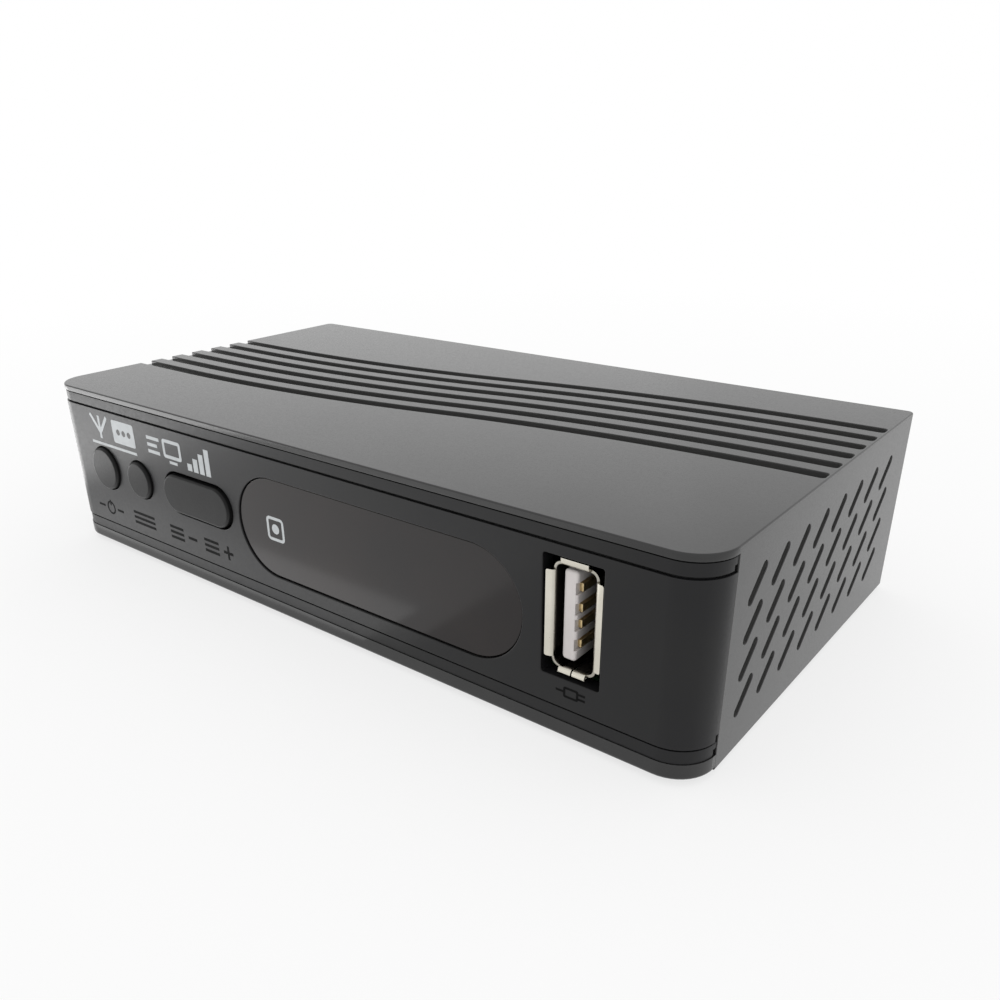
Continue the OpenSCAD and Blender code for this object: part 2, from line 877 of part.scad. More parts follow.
// Electrolytic capacitors, each with a neck groove near its foot
module capacitors() {
    front_y = can_y0 - cap_clear - cap_r;
    row_y = front_y - cap_apart;
    rear_y = hd - inlet_len - cap_clear - cap_r;
    left = chip_at.x - cap_step;
    color([0.15, 0.17, 0.3]) in_case()
        for (p = [[left, front_y], [left, row_y], [left - cap_apart, row_y], [inlet_x - cap_aside, rear_y]])
            translate([p.x, p.y, deck])
                rotate_extrude()
                    polygon([[0, 0], [cap_r, 0], [cap_r, cap_neck.x],
                             [cap_neck_r, (cap_neck.x + cap_neck.y) / 2],
                             [cap_r, cap_neck.y], [cap_r, cap_h], [0, cap_h]]);
}

// Power coils: a square foot with a round drum on it
module power_coils() {
    color([0.25, 0.24, 0.24]) in_case()
        for (i = [0, 1])
            translate([chip_at.x + coil_step.x + i * coil_apart, chip_at.y + coil_step.y, deck]) {
                box([-coil_side / 2, -coil_side / 2, 0], [coil_side / 2, coil_side / 2, coil_foot]);
                bar_z([0, 0, coil_foot - tiny], coil_r, coil_h + tiny);
            }
}

// Tuner screen: four folded walls
module tuner_can() {
    color("silver") in_case()
        difference() {
            box([can_x0, can_y0, deck], [can_x1, rear_root, deck + can_h]);
            box([can_x0 + sheet_t, can_y0 + sheet_t, deck - past],
                [can_x1 - sheet_t, rear_root - sheet_t, deck + can_h + past]);
        }
}

// Tuner lid with a folded skirt that stops short of the walls
module tuner_lid() {
    drop = 2;
    gap = 0.05;
    z = deck + can_h;
    color("silver") in_case() {
        box([can_x0, can_y0, z], [can_x1, rear_root, z + sheet_t]);
        difference() {
            box([can_x0 + sheet_t + gap, can_y0 + sheet_t + gap, z - drop],
                [can_x1 - sheet_t - gap, rear_root - sheet_t - gap, z + tiny]);
            box([can_x0 + 2 * sheet_t + gap, can_y0 + 2 * sheet_t + gap, z - drop - past],
                [can_x1 - 2 * sheet_t - gap, rear_root - 2 * sheet_t - gap, z]);
        }
    }
}

// Profile of a flared lip: out from the opening and forward
function lip_points(s) = [
    [0, lip_root],
    [s * lip_flare, lip_tip],
    [s * lip_flare, lip_tip + sheet_t],
    [0, lip_root + sheet_t]
];

// Nickel shell of the data socket, standing on its side, with four lips and two legs
module data_socket_shell() {
    half = [data_w / 2, data_h / 2];
    side_lip = data_h - 2 * lip_inset;
    end_lip = data_w - 2 * lip_inset + 0.6;
    color("gainsboro") in_case()
        translate([data_x, -hd, data_z]) {
            difference() {
                box([-half.x - sheet_t, lip_root, -half.y - sheet_t],
                    [half.x + sheet_t, data_len, half.y + sheet_t]);
                box([-half.x, -past, -half.y], [half.x, data_len + past, half.y]);
            }
            for (s = [-1, 1]) {
                translate([s * half.x, 0, -side_lip / 2])
                    linear_extrude(side_lip)
                        polygon(lip_points(s));
                translate([end_lip / 2, 0, s * half.y])
                    rotate([0, -90, 0])
                        difference() {
                            linear_extrude(end_lip)
                                polygon(lip_points(s));
                            if (s < 0)
                                translate([0, 0, (end_lip - lip_seam) / 2])
                                    linear_extrude(lip_seam)
                                        square([4 * lip_flare, 2 * lip_root], center = true);
                        }
                for (y = leg_y)
                    translate([s * (half.x + sheet_t / 2), y, deck - data_z])
                        box([-sheet_t / 2, 0, 0], [sheet_t / 2, leg_len, data_z - deck - half.y]);
            }
        }
}

// White insulator of the data socket: a block at the back and a tongue
module data_socket_insulator() {
    back = data_len - data_block - hd;
    color("white") in_case() {
        box([data_x - data_w / 2 + plug_fit, back, data_z - data_h / 2 + plug_fit],
            [data_x + data_w / 2 - plug_fit, data_len - hd, data_z + data_h / 2 - plug_fit]);
        box([tongue_x, tongue_set - hd, data_z - tongue_h / 2],
            [tongue_x + tongue_t, back + tiny, data_z + tongue_h / 2]);
    }
}

// Four gilt contacts on one side of the tongue
module data_socket_contacts() {
    start = tongue_set + 0.8;
    color("gold") in_case()
        for (z = data_contact_z)
            box([tongue_x + tongue_t, start - hd, data_z + z - contact_w / 2],
                [tongue_x + tongue_t + contact_t, data_len - data_block - hd, data_z + z + contact_w / 2]);
}

// Aerial input: a barrel that takes a coaxial plug
module aerial_barrel() {
    len = hd + aerial_proud - rear_root;
    color("silver") in_case()
        difference() {
            bar_y([aerial_x, rear_root, aerial_z], barrel_r, len);
            bar_y([aerial_x, rear_root - past, aerial_z], female_r, len + 2 * past);
        }
}

// Insulating disc at the root of a coaxial socket
module root_disc(x, outer, inner) {
    color("white") in_case()
        difference() {
            bar_y([x, rear_root, aerial_z], outer - plug_fit, disc_t);
            bar_y([x, rear_root - past, aerial_z], inner + plug_fit, disc_t + 2 * past);
        }
}

module aerial_insulator() {
    root_disc(aerial_x, female_r, contact_r);
}

// Hollow centre contact of the aerial input
module aerial_contact() {
    len = hd + aerial_proud - contact_short - rear_root;
    color("gold") in_case()
        difference() {
            bar_y([aerial_x, rear_root, aerial_z], contact_r, len);
            bar_y([aerial_x, rear_root + disc_t, aerial_z], contact_bore_r, len);
        }
}

// Loop-through: a thick root inside the panel and a plug-sized barrel outside
module loop_barrel() {
    root = hd - rear_root;
    color("silver") in_case()
        difference() {
            union() {
                bar_y([loop_x, rear_root, aerial_z], barrel_r, root);
                bar_y([loop_x, hd - tiny, aerial_z], male_r, aerial_proud + tiny);
            }
            bar_y([loop_x, rear_root - past, aerial_z], male_inner_r, root + aerial_proud + 2 * past);
        }
}

module loop_insulator() {
    root_disc(loop_x, male_inner_r, loop_pin_r);
}

module loop_pin() {
    color("gold") in_case()
        bar_y([loop_x, rear_root, aerial_z], loop_pin_r, hd + aerial_proud - contact_short - rear_root);
}

// Digital video socket
module video_socket_shell() {
    start = hd + video_proud - video_len;
    color("silver") in_case() {
        difference() {
            prism_y([video_x, start, video_z], video_len)
                video_outline(sheet_t);
            prism_y([video_x, start - past, video_z], video_len + 2 * past)
                video_outline(0);
        }
        for (s = [-1, 1])
            translate([video_x + s * video_w / 4, start + 2, deck])
                box([-past, 0, 0], [past, past, video_z - deck - video_h / 2 - sheet_t / 2]);
    }
}

module video_socket_insulator() {
    start = hd + video_proud - video_len;
    tongue_len = video_len - video_block - tongue_set;
    color([0.12, 0.12, 0.12]) in_case() {
        prism_y([video_x, start, video_z], video_block)
            video_outline(-plug_fit);
        translate([video_x, start + video_block - tiny, video_z])
            box([-video_tongue.x / 2, 0, -video_tongue.y / 2],
                [video_tongue.x / 2, tongue_len + tiny, video_tongue.y / 2]);
    }
}

// Contacts above and below the video socket's tongue, set half a cell apart
module video_socket_contacts() {
    rows = [10, 9];
    size = [0.45, 5, 0.15];
    color("gold") in_case()
        for (k = [0, 1], i = [0 : rows[k] - 1])
            translate([
                video_x + (i - (rows[k] - 1) / 2) * video_cell - size.x / 2,
                hd + video_proud - video_len + video_block,
                video_z + (k == 0 ? video_tongue.y / 2 : -video_tongue.y / 2 - size.z)
            ])
                cube(size);
}

// Audio and video jack with a round nose through the rear panel
module av_jack() {
    back = hd - wall_t - jack_len;
    mouth = hd + jack_nose;
    color([0.1, 0.1, 0.1]) in_case()
        difference() {
            union() {
                box([jack_x - jack_box.x / 2, back, deck],
                    [jack_x + jack_box.x / 2, hd - wall_t - board_gap, deck + jack_box.y]);
                bar_y([jack_x, back + past, jack_z], jack_nose_r, mouth - back - past);
            }
            bar_y([jack_x, mouth - jack_bore, jack_z], jack_r, jack_bore + past);
        }
}

// Low-voltage inlet: a block with a round well and a slot for its spring
module inlet_body() {
    z = deck + inlet_rise;
    color([0.1, 0.1, 0.1]) in_case()
        difference() {
            box([inlet_x - inlet_box.x / 2, hd - inlet_len, deck],
                [inlet_x + inlet_box.x / 2, hd, deck + inlet_box.y]);
            bar_y([inlet_x, hd - inlet_deep, z], inlet_r, inlet_deep + past);
            box([inlet_x - inlet_slot.x / 2, hd - inlet_deep, z],
                [inlet_x + inlet_slot.x / 2, hd - past, z + inlet_r + inlet_slot.y]);
        }
}

module inlet_pin() {
    color("silver") in_case()
        bar_y([inlet_x, hd - inlet_deep, deck + inlet_rise], inlet_pin_r, inlet_pin_len);
}

// Leaf spring in the roof of the inlet's well
module inlet_spring() {
    top = deck + inlet_rise + inlet_r + inlet_slot.y;
    color("silver") in_case()
        box([inlet_x - inlet_leaf.x / 2, hd - inlet_deep, top - inlet_leaf.y],
            [inlet_x + inlet_leaf.x / 2, hd - inlet_deep + inlet_leaf.z, top]);
}

// Four screws from below, through the base plate into the cover's bosses
module case_screws() {
    color("dimgray") in_case()
        for (p = boss_places)
            translate([p.x, p.y, head_gap / 2])
                screw_up(head_r, head_h - head_gap / 2, screw_d / 2 - screw_fit, screw_len - past);
}

// Four screws from above, through the main board into the posts
module board_screws() {
    color("silver") in_case()
        for (p = hole_places)
            translate([p.x, p.y, deck + board_head_h])
                mirror([0, 0, 1])
                    screw_up(board_screw_d, board_head_h, board_screw_d / 2 - screw_fit, board_screw_len);
}

// Four feet glued into the base plate
module rubber_feet() {
    color([0.1, 0.1, 0.1])
        for (p = foot_places)
            bar_z([p.x, p.y + shift_y, 0], foot_d / 2, foot_h + foot_sink);
}

top_cover();
base_plate();
front_panel();
rear_panel();
display_window();
power_button();
menu_button();
channel_rocker();
key_switch(power_x);  // power_switch
key_switch(menu_x);  // menu_switch
key_switch(rocker_x - rocker_arm);  // channel_down_switch
key_switch(rocker_x + rocker_arm);  // channel_up_switch
plunger(power_x);  // power_plunger
plunger(menu_x);  // menu_plunger
plunger(rocker_x - rocker_arm);  // channel_down_plunger
plunger(rocker_x + rocker_arm);  // channel_up_plunger
display_board();
digit_display();
infrared_receiver();
standby_light();
board_link();
main_board();
processor();
thermal_pad();
heat_sink();
memory_chip();
flash_chip();
regulators();
crystal();
capacitors();
power_coils();
tuner_can();
tuner_lid();
data_socket_shell();
data_socket_insulator();
data_socket_contacts();
aerial_barrel();
aerial_insulator();
aerial_contact();
loop_barrel();
loop_insulator();
loop_pin();
video_socket_shell();
video_socket_insulator();
video_socket_contacts();
av_jack();
inlet_body();
inlet_pin();
inlet_spring();
case_screws();
board_screws();
rubber_feet();
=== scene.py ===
import json
import math

import bmesh
import bpy
from mathutils import Matrix, Vector


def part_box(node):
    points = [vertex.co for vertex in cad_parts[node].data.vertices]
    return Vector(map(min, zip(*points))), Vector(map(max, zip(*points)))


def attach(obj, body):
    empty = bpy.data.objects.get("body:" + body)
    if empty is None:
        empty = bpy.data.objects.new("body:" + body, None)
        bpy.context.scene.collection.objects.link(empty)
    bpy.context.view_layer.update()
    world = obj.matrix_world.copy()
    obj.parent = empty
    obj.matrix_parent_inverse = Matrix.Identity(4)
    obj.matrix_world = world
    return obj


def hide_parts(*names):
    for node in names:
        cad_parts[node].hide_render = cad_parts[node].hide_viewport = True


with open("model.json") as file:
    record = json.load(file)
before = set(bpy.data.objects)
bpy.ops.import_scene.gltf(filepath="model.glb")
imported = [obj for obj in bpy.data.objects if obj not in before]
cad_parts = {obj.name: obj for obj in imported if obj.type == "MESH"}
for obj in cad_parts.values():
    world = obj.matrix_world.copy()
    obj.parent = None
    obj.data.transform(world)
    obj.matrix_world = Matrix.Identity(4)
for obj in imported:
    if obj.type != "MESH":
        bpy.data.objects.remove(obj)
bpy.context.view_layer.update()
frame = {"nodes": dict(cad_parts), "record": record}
nodes = frame["nodes"]
mm = 0.001
near = 0.01  # places this close count as one, in millimetres
hair = 0.001  # the same for points that must lie on one plane
mostly = 0.9  # part of a direction that has to lie along an axis
print("frame loaded:", len(nodes), "nodes")


# Handling

def rest():
    if bpy.context.object and bpy.context.object.mode != "OBJECT":
        bpy.ops.object.mode_set(mode="OBJECT")
    bpy.ops.object.select_all(action="DESELECT")


def hold(piece):
    rest()
    piece.select_set(True)
    bpy.context.view_layer.objects.active = piece


def openMesh(piece):
    hold(piece)
    bpy.ops.object.mode_set(mode="EDIT")
    bpy.ops.mesh.select_all(action="DESELECT")


def closeMesh():
    bpy.ops.object.mode_set(mode="OBJECT")


def choose(piece, kind, test):  # in edit mode, selects what passes the test
    bpy.ops.mesh.select_mode(type=kind)
    bpy.ops.mesh.select_all(action="DESELECT")
    mesh = bmesh.from_edit_mesh(piece.data)
    for part in {"VERT": mesh.verts, "EDGE": mesh.edges, "FACE": mesh.faces}[kind]:
        if test(part):
            part.select_set(True)
    mesh.select_flush_mode()
    bmesh.update_edit_mesh(piece.data)


# Materials

def startMaterial(name):
    material = bpy.data.materials.new(name)
    material.use_nodes = True
    tree = material.node_tree
    tree.nodes.clear()
    output = tree.nodes.new("ShaderNodeOutputMaterial")
    shader = tree.nodes.new("ShaderNodeBsdfPrincipled")
    tree.links.new(shader.outputs["BSDF"], output.inputs["Surface"])
    return material, tree, shader


def objectPoint(tree):  # where on the piece the surface point lies
    return tree.nodes.new("ShaderNodeTexCoord").outputs["Object"]


def noise(tree, point, size, detail, roughness=0.5):  # size in millimetres
    node = tree.nodes.new("ShaderNodeTexNoise")
    node.inputs["Scale"].default_value = 1 / (size * mm)
    node.inputs["Detail"].default_value = detail
    node.inputs["Roughness"].default_value = roughness
    tree.links.new(point, node.inputs["Vector"])
    return node.outputs["Fac"]


def blendColour(tree, share, first, second):
    node = tree.nodes.new("ShaderNodeMix")
    node.data_type = "RGBA"
    for socket, kind, value in (("Factor", "VALUE", share), ("A", "RGBA", first), ("B", "RGBA", second)):
        target = next(s for s in node.inputs if s.name == socket and s.type == kind)
        if isinstance(value, tuple):
            target.default_value = (*value, 1)
        else:
            tree.links.new(value, target)
    return next(s for s in node.outputs if s.type == "RGBA")


def spread(tree, value, low, high, fromLow=0.3, fromHigh=0.7):
    node = tree.nodes.new("ShaderNodeMapRange")
    for name, number in (("From Min", fromLow), ("From Max", fromHigh), ("To Min", low), ("To Max", high)):
        node.inputs[name].default_value = number
    tree.links.new(value, node.inputs["Value"])
    return node.outputs["Result"]


def relief(tree, shader, height, depth):  # depth in millimetres
    node = tree.nodes.new("ShaderNodeBump")
    node.inputs["Distance"].default_value = depth * mm
    tree.links.new(height, node.inputs["Height"])
    tree.links.new(node.outputs["Normal"], shader.inputs["Normal"])


def edgeMask(tree, radius):  # 1 on flat ground, lower where a rounded normal leaves the true one
    bevel = tree.nodes.new("ShaderNodeBevel")
    bevel.samples = 4
    bevel.inputs["Radius"].default_value = radius * mm
    geometry = tree.nodes.new("ShaderNodeNewGeometry")
    dot = tree.nodes.new("ShaderNodeVectorMath")
    dot.operation = "DOT_PRODUCT"
    tree.links.new(bevel.outputs["Normal"], dot.inputs[0])
    tree.links.new(geometry.outputs["Normal"], dot.inputs[1])
    return dot.outputs["Value"]


def makeFinish(name, look, metal=False):
    material, tree, shader = startMaterial(name)
    point = objectPoint(tree)
    cloud = noise(tree, point, look["cloudSize"], 3.0)
    grain = noise(tree, point, look["grainSize"], 3.0 if metal else 2.0, 0.6)
    ground = blendColour(tree, spread(tree, cloud, 0.0, 1.0), look["dark"], look["light"])
    worn = spread(tree, edgeMask(tree, look["edge"]), look["wear"], 0.0, 0.7, 1.0)
    tree.links.new(blendColour(tree, worn, ground, look["worn"]), shader.inputs["Base Color"])
    tree.links.new(spread(tree, grain, look["rough"][0], look["rough"][1]), shader.inputs["Roughness"])
    if metal:
        shader.inputs["Metallic"].default_value = 1.0
    else:
        shader.inputs["IOR"].default_value = look["ior"]
    relief(tree, shader, grain, look["grainDepth"])
    return material


def shaderOf(material):
    return next(node for node in material.node_tree.nodes if node.type == "BSDF_PRINCIPLED")


def paintShadeAlongY(material, start, end, least):  # painted shade: darkens a finish along y from one place to another, in millimetres
    tree = material.node_tree
    colour = shaderOf(material).inputs["Base Color"]
    split = tree.nodes.new("ShaderNodeSeparateXYZ")
    tree.links.new(objectPoint(tree), split.inputs["Vector"])
    shade = spread(tree, split.outputs["Y"], 1.0, least, start * mm, end * mm)
    scale = tree.nodes.new("ShaderNodeVectorMath")
    scale.operation = "SCALE"
    tree.links.new(colour.links[0].from_socket, scale.inputs[0])
    tree.links.new(shade, scale.inputs["Scale"])
    tree.links.new(scale.outputs["Vector"], colour)
    return material


def paintLightInside(material, limits, paintedLightTone):  # painted light: another colour where every coordinate lies within its limits
    tree = material.node_tree
    colour = shaderOf(material).inputs["Base Color"]
    split = tree.nodes.new("ShaderNodeSeparateXYZ")
    tree.links.new(objectPoint(tree), split.inputs["Vector"])
    share = None
    for axis, outer, inner in limits:
        part = spread(tree, split.outputs[axis], 0.0, 1.0, outer * mm, inner * mm)
        if share:
            product = tree.nodes.new("ShaderNodeMath")
            product.operation = "MULTIPLY"
            tree.links.new(share, product.inputs[0])
            tree.links.new(part, product.inputs[1])
            part = product.outputs["Value"]
        share = part
    ground = colour.links[0].from_socket
    tree.links.new(blendColour(tree, share, ground, paintedLightTone), colour)


def tone(dark, light, worn, **more):
    look = dict(dark=dark, light=light, worn=worn, wear=0.5, edge=0.15, cloudSize=5.0, grainSize=0.3,
                grainDepth=0.004, rough=(0.35, 0.5), ior=1.46)
    look.update(more)
    return look


plasticLooks = dict(
    cover_plastic=tone((0.012, 0.012, 0.012), (0.017, 0.017, 0.017), (0.04, 0.04, 0.04), edge=0.25,
                       cloudSize=9.0, grainSize=0.28, grainDepth=0.005, rough=(0.17, 0.27), ior=1.5),
    panel_plastic=tone((0.007, 0.007, 0.008), (0.010, 0.010, 0.010), (0.03, 0.03, 0.03), cloudSize=14.0,
                       grainSize=0.5, grainDepth=0.001, rough=(0.32, 0.40), ior=1.35),
    smoked_lens=tone((0.009, 0.007, 0.007), (0.014, 0.010, 0.009), (0.02, 0.02, 0.02), cloudSize=12.0,
                     rough=(0.12, 0.2), grainDepth=0.0005, ior=1.38),
    key_plastic=tone((0.006, 0.006, 0.006), (0.009, 0.009, 0.009), (0.025, 0.025, 0.025), rough=(0.3, 0.42),
                     ior=1.255),
    black_plastic=tone((0.018, 0.018, 0.019), (0.028, 0.028, 0.030), (0.06, 0.06, 0.06)),
    white_plastic=tone((0.60, 0.565, 0.55), (0.66, 0.625, 0.61), (0.70, 0.68, 0.67)),
    white_ink=tone((0.39, 0.41, 0.42), (0.45, 0.47, 0.48), (0.36, 0.36, 0.36), cloudSize=1.2,
                   rough=(0.45, 0.6)),
    dark_ink=tone((0.003, 0.003, 0.003), (0.006, 0.006, 0.006), (0.02, 0.02, 0.02), cloudSize=1.2,
                  rough=(0.5, 0.65), ior=1.14),
    red_resin=tone((0.42, 0.02, 0.02), (0.55, 0.04, 0.03), (0.6, 0.1, 0.1), rough=(0.1, 0.2)),
    board_laminate=tone((0.010, 0.055, 0.022), (0.016, 0.080, 0.032), (0.12, 0.12, 0.07)),
    pad_rubber=tone((0.36, 0.46, 0.58), (0.42, 0.52, 0.64), (0.5, 0.6, 0.7), rough=(0.6, 0.8)),
    sleeve_film=tone((0.02, 0.03, 0.10), (0.035, 0.045, 0.14), (0.1, 0.12, 0.2), rough=(0.15, 0.25)),
    ferrite=tone((0.06, 0.06, 0.065), (0.09, 0.09, 0.095), (0.15, 0.15, 0.15), rough=(0.55, 0.7)),
    foot_rubber=tone((0.014, 0.014, 0.014), (0.022, 0.022, 0.022), (0.05, 0.05, 0.05), rough=(0.7, 0.85)))
metalLooks = dict(
    sink_aluminium=tone((0.52, 0.52, 0.54), (0.64, 0.64, 0.66), (0.75, 0.75, 0.76), rough=(0.3, 0.45)),
    bright_steel=tone((0.52, 0.52, 0.52), (0.62, 0.62, 0.62), (0.72, 0.72, 0.72), rough=(0.22, 0.38)),
    dark_steel=tone((0.04, 0.04, 0.045), (0.07, 0.07, 0.075), (0.35, 0.35, 0.35), rough=(0.3, 0.5)),
    tin_plate=tone((0.54, 0.54, 0.52), (0.65, 0.65, 0.62), (0.75, 0.75, 0.72), rough=(0.25, 0.4)),
    nickel=tone((0.62, 0.59, 0.51), (0.70, 0.67, 0.59), (0.78, 0.76, 0.70), rough=(0.16, 0.28),
                grainDepth=0.002),
    gilt=tone((0.62, 0.48, 0.25), (0.73, 0.58, 0.32), (0.82, 0.7, 0.48), rough=(0.4, 0.55)))
finishes = {slot: makeFinish(slot, look) for slot, look in plasticLooks.items()}
finishes.update({slot: makeFinish(slot, look, True) for slot, look in metalLooks.items()})

# painted shade: the socket's shell and tongue darken towards the back, where shade falls inside the socket
socketPaintedShade = dict(shell=(-35.46, -34.7, 0.12), tongue=(-34.4, -29.5, 0.08))
shellPaintedShadeFinish = paintShadeAlongY(makeFinish("socketNickelPaintedShade", metalLooks["nickel"], True), *socketPaintedShade["shell"])
tonguePaintedShadeFinish = paintShadeAlongY(makeFinish("socketWhitePaintedShade", plasticLooks["white_plastic"]), *socketPaintedShade["tongue"])

# The cover's grooves and vents: outer and inner limit along each axis, and the tone inside, painted lighter
# to stand in for light in the recesses
recessPaintedLightLimits = (("X", -59.9, -59.8), ("X", 59.9, 59.8), ("Y", -28.5, -28.0), ("Y", 26.4, 26.0),
                ("Z", 27.52, 27.42))
recessPaintedLight = (0.07, 0.07, 0.068)
groovePaintedLightLimits = (*recessPaintedLightLimits, ("Z", 25.8, 26.2))
groovePaintedLight = (0.055, 0.055, 0.054)
paintLightInside(finishes["cover_plastic"], recessPaintedLightLimits, recessPaintedLight)
paintLightInside(finishes["cover_plastic"], groovePaintedLightLimits, groovePaintedLight)

slots = {entry["node"]: entry["material_slot"] for entry in frame["record"]["subparts"]}
for name, node in nodes.items():
    node.data.materials.clear()
    node.data.materials.append(finishes[slots[name]])
print("materials made")


# Shaping

mergeGap = 0.004  # points this close are made one, in millimetres
smoothBelow = 35  # edges flatter than this are shaded smooth, in degrees


def settle(name):
    piece = bpy.context.object
    piece.name = name
    bpy.ops.object.transform_apply(location=True, rotation=True, scale=True)
    return piece


def block(name, low, high):
    rest()
    low, high = Vector(low) * mm, Vector(high) * mm
    bpy.ops.mesh.primitive_cube_add(size=1, location=(low + high) / 2, scale=high - low)
    return settle(name)


def bar(name, axis, at, radius, length, sides=48):  # at is the middle of the bar
    rest()
    turn = {"X": (0, math.pi / 2, 0), "Y": (math.pi / 2, 0, 0), "Z": (0, 0, 0)}[axis]
    bpy.ops.mesh.primitive_cylinder_add(vertices=sides, radius=radius * mm, depth=length * mm,
                                        location=Vector(at) * mm, rotation=turn)
    return settle(name)


def way(edge):
    return (edge.verts[1].co - edge.verts[0].co).normalized()


def spot(part):  # middle of an edge or face, in millimetres
    return sum((v.co for v in part.verts), Vector()) / len(part.verts) / mm


def ridge(edge, least=40):  # true for an outward edge at least this sharp, in degrees
    return edge.is_manifold and edge.calc_face_angle_signed(0) > math.radians(least)


def roundOff(piece, test, width, steps):
    openMesh(piece)
    choose(piece, "EDGE", test)
    bpy.ops.mesh.bevel(offset=width * mm, segments=steps, affect="EDGES", clamp_overlap=False)
    closeMesh()


def mergeClose(gap):  # in edit mode
    bpy.ops.mesh.select_all(action="SELECT")
    bpy.ops.mesh.remove_doubles(threshold=gap * mm)


def extrude(step):  # in edit mode, draws out what is chosen; the step is in metres
    bpy.ops.mesh.extrude_region_move(TRANSFORM_OT_translate={"value": step})


def pushFaces(piece, test, shift):
    choose(piece, "FACE", test)
    extrude(Vector(shift) * mm)


def slotBar(name, low, high, axis, steps):  # block with its four edges along one axis fully rounded
    piece = block(name, low, high)
    radius = min(high[i] - low[i] for i in range(3) if i != axis) / 2
    roundOff(piece, lambda e: abs(way(e)[axis]) > mostly, radius * 0.9999, steps)
    openMesh(piece)
    mergeClose(mergeGap)
    closeMesh()
    return piece


def combine(piece, other, kind):
    hold(piece)
    step = piece.modifiers.new("combine", "BOOLEAN")
    step.operation = kind
    step.object = other
    step.solver = "EXACT"
    bpy.ops.object.modifier_apply(modifier=step.name)
    hold(other)
    bpy.ops.object.delete()
    hold(piece)


def cutAway(piece, cutter):
    combine(piece, cutter, "DIFFERENCE")


def addOn(piece, other):
    combine(piece, other, "UNION")


def repeat(piece, count, step):
    hold(piece)
    row = piece.modifiers.new("row", "ARRAY")
    row.count = count
    row.use_relative_offset = False
    row.use_constant_offset = True
    row.constant_offset_displace = Vector(step) * mm
    bpy.ops.object.modifier_apply(modifier=row.name)


def finishPiece(piece, node, body="case", finish=None):
    hold(piece)
    bpy.ops.object.shade_smooth_by_angle(angle=math.radians(smoothBelow))
    level = piece.modifiers.new("level", "WEIGHTED_NORMAL")
    level.keep_sharp = True
    bpy.ops.object.modifier_apply(modifier=level.name)
    slot = slots[node]
    piece.data.materials.clear()
    piece.data.materials.append(finish or finishes[slot])
    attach(piece, body)
    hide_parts(node)


# Top cover

coverShape = dict(half=60, front=-35.85, rear=27.45, lid=26.7, top=27.6, under=25.6, side=58, slab=57.9,
                  slabFront=-33.75, shoulder=-30.75, foot=0.8, frontRound=5, rearRound=1, topRound=0.2,
                  rim=0.12, rimSide=0.2, rimTop=0.3, rimLip=0.05)
grooveShape = dict(count=6, width=2.1, depth=1.0, over=1, pitch=4.38, first=-17.95, start=-61, lead=-48,
                   end=58.15, rise=11.6, tail=1.45, corner=0.5, steps=20, runOut=0.5, runOutLength=26)
ventShape = dict(columns=8, rows=4, pitchY=6.09, pitchZ=4.6, width=1.3, run=4.0, slant=45, midY=-3.75,
                 midZ=14.4, inner=57, outer=61, apart=118)
bossShape = dict(x=54, y=(-18.85, 19.45), radius=3, hole=1.3, low=2.9, deep=12.9, sink=0.5, over=1)


def makeGrooves():
    g = grooveShape
    half, top = g["width"] / 2, coverShape["top"]
    piece = block("grooves", (g["start"], g["first"] - half, top - g["depth"]),
                  (g["lead"], g["first"] + half, top + g["over"]))
    reach, rise = (g["end"] - g["lead"]) / 2, g["rise"] / 2
    bend = (reach ** 2 + rise ** 2) / (2 * rise)
    sweep = math.asin(reach / bend)
    openMesh(piece)
    choose(piece, "FACE", lambda f: f.normal.x > mostly)
    bpy.ops.mesh.spin(steps=g["steps"], angle=-sweep, axis=(0, 0, 1),
                      center=Vector((g["lead"], g["first"] + bend, 0)) * mm)
    bpy.ops.mesh.spin(steps=g["steps"], angle=sweep, axis=(0, 0, 1),
                      center=Vector((g["end"], g["first"] + g["rise"] - bend, 0)) * mm)
    extrude((g["tail"] * mm, 0, 0))
    choose(piece, "EDGE", lambda e: abs(way(e).z) > mostly and spot(e).x > g["end"] + g["tail"] / 2)
    bpy.ops.mesh.bevel(offset=g["corner"] * mm, segments=6, affect="EDGES", clamp_overlap=False)
    mergeClose(mergeGap)
    bpy.ops.mesh.normals_make_consistent(inside=False)
    # shallower towards the left edge
    choose(piece, "VERT", lambda v: v.co.x / mm < g["start"] + 0.1 and v.co.z / mm < top)
    bpy.ops.transform.translate(value=(0, 0, g["runOut"] * mm), use_proportional_edit=True,
                                proportional_edit_falloff="LINEAR", proportional_size=g["runOutLength"] * mm)
    closeMesh()
    repeat(piece, g["count"], (0, g["pitch"], 0))
    return piece


def makeVents():
    v = ventShape
    long = (v["run"] + v["width"]) / 2
    piece = slotBar("vents", (v["inner"], -long, -v["width"] / 2), (v["outer"], long, v["width"] / 2), 0, 8)
    hold(piece)
    piece.rotation_euler.x = math.radians(v["slant"])
    piece.location = Vector((0, v["midY"] - (v["columns"] - 1) / 2 * v["pitchY"],
                             v["midZ"] - (v["rows"] - 1) / 2 * v["pitchZ"])) * mm
    settle("vents")
    repeat(piece, v["columns"], (0, v["pitchY"], 0))
    repeat(piece, v["rows"], (0, 0, v["pitchZ"]))
    repeat(piece, 2, (-v["apart"], 0, 0))
    return piece


def addBosses(piece):
    b = bossShape
    top = coverShape["under"] + b["sink"]
    mouth = b["low"] - b["over"]
    for x in (-b["x"], b["x"]):
        for y in b["y"]:
            addOn(piece, bar("boss", "Z", (x, y, (b["low"] + top) / 2), b["radius"], top - b["low"]))
            hole = bar("bossHole", "Z", (x, y, (mouth + b["deep"]) / 2), b["hole"], b["deep"] - mouth)
            cutAway(piece, hole)


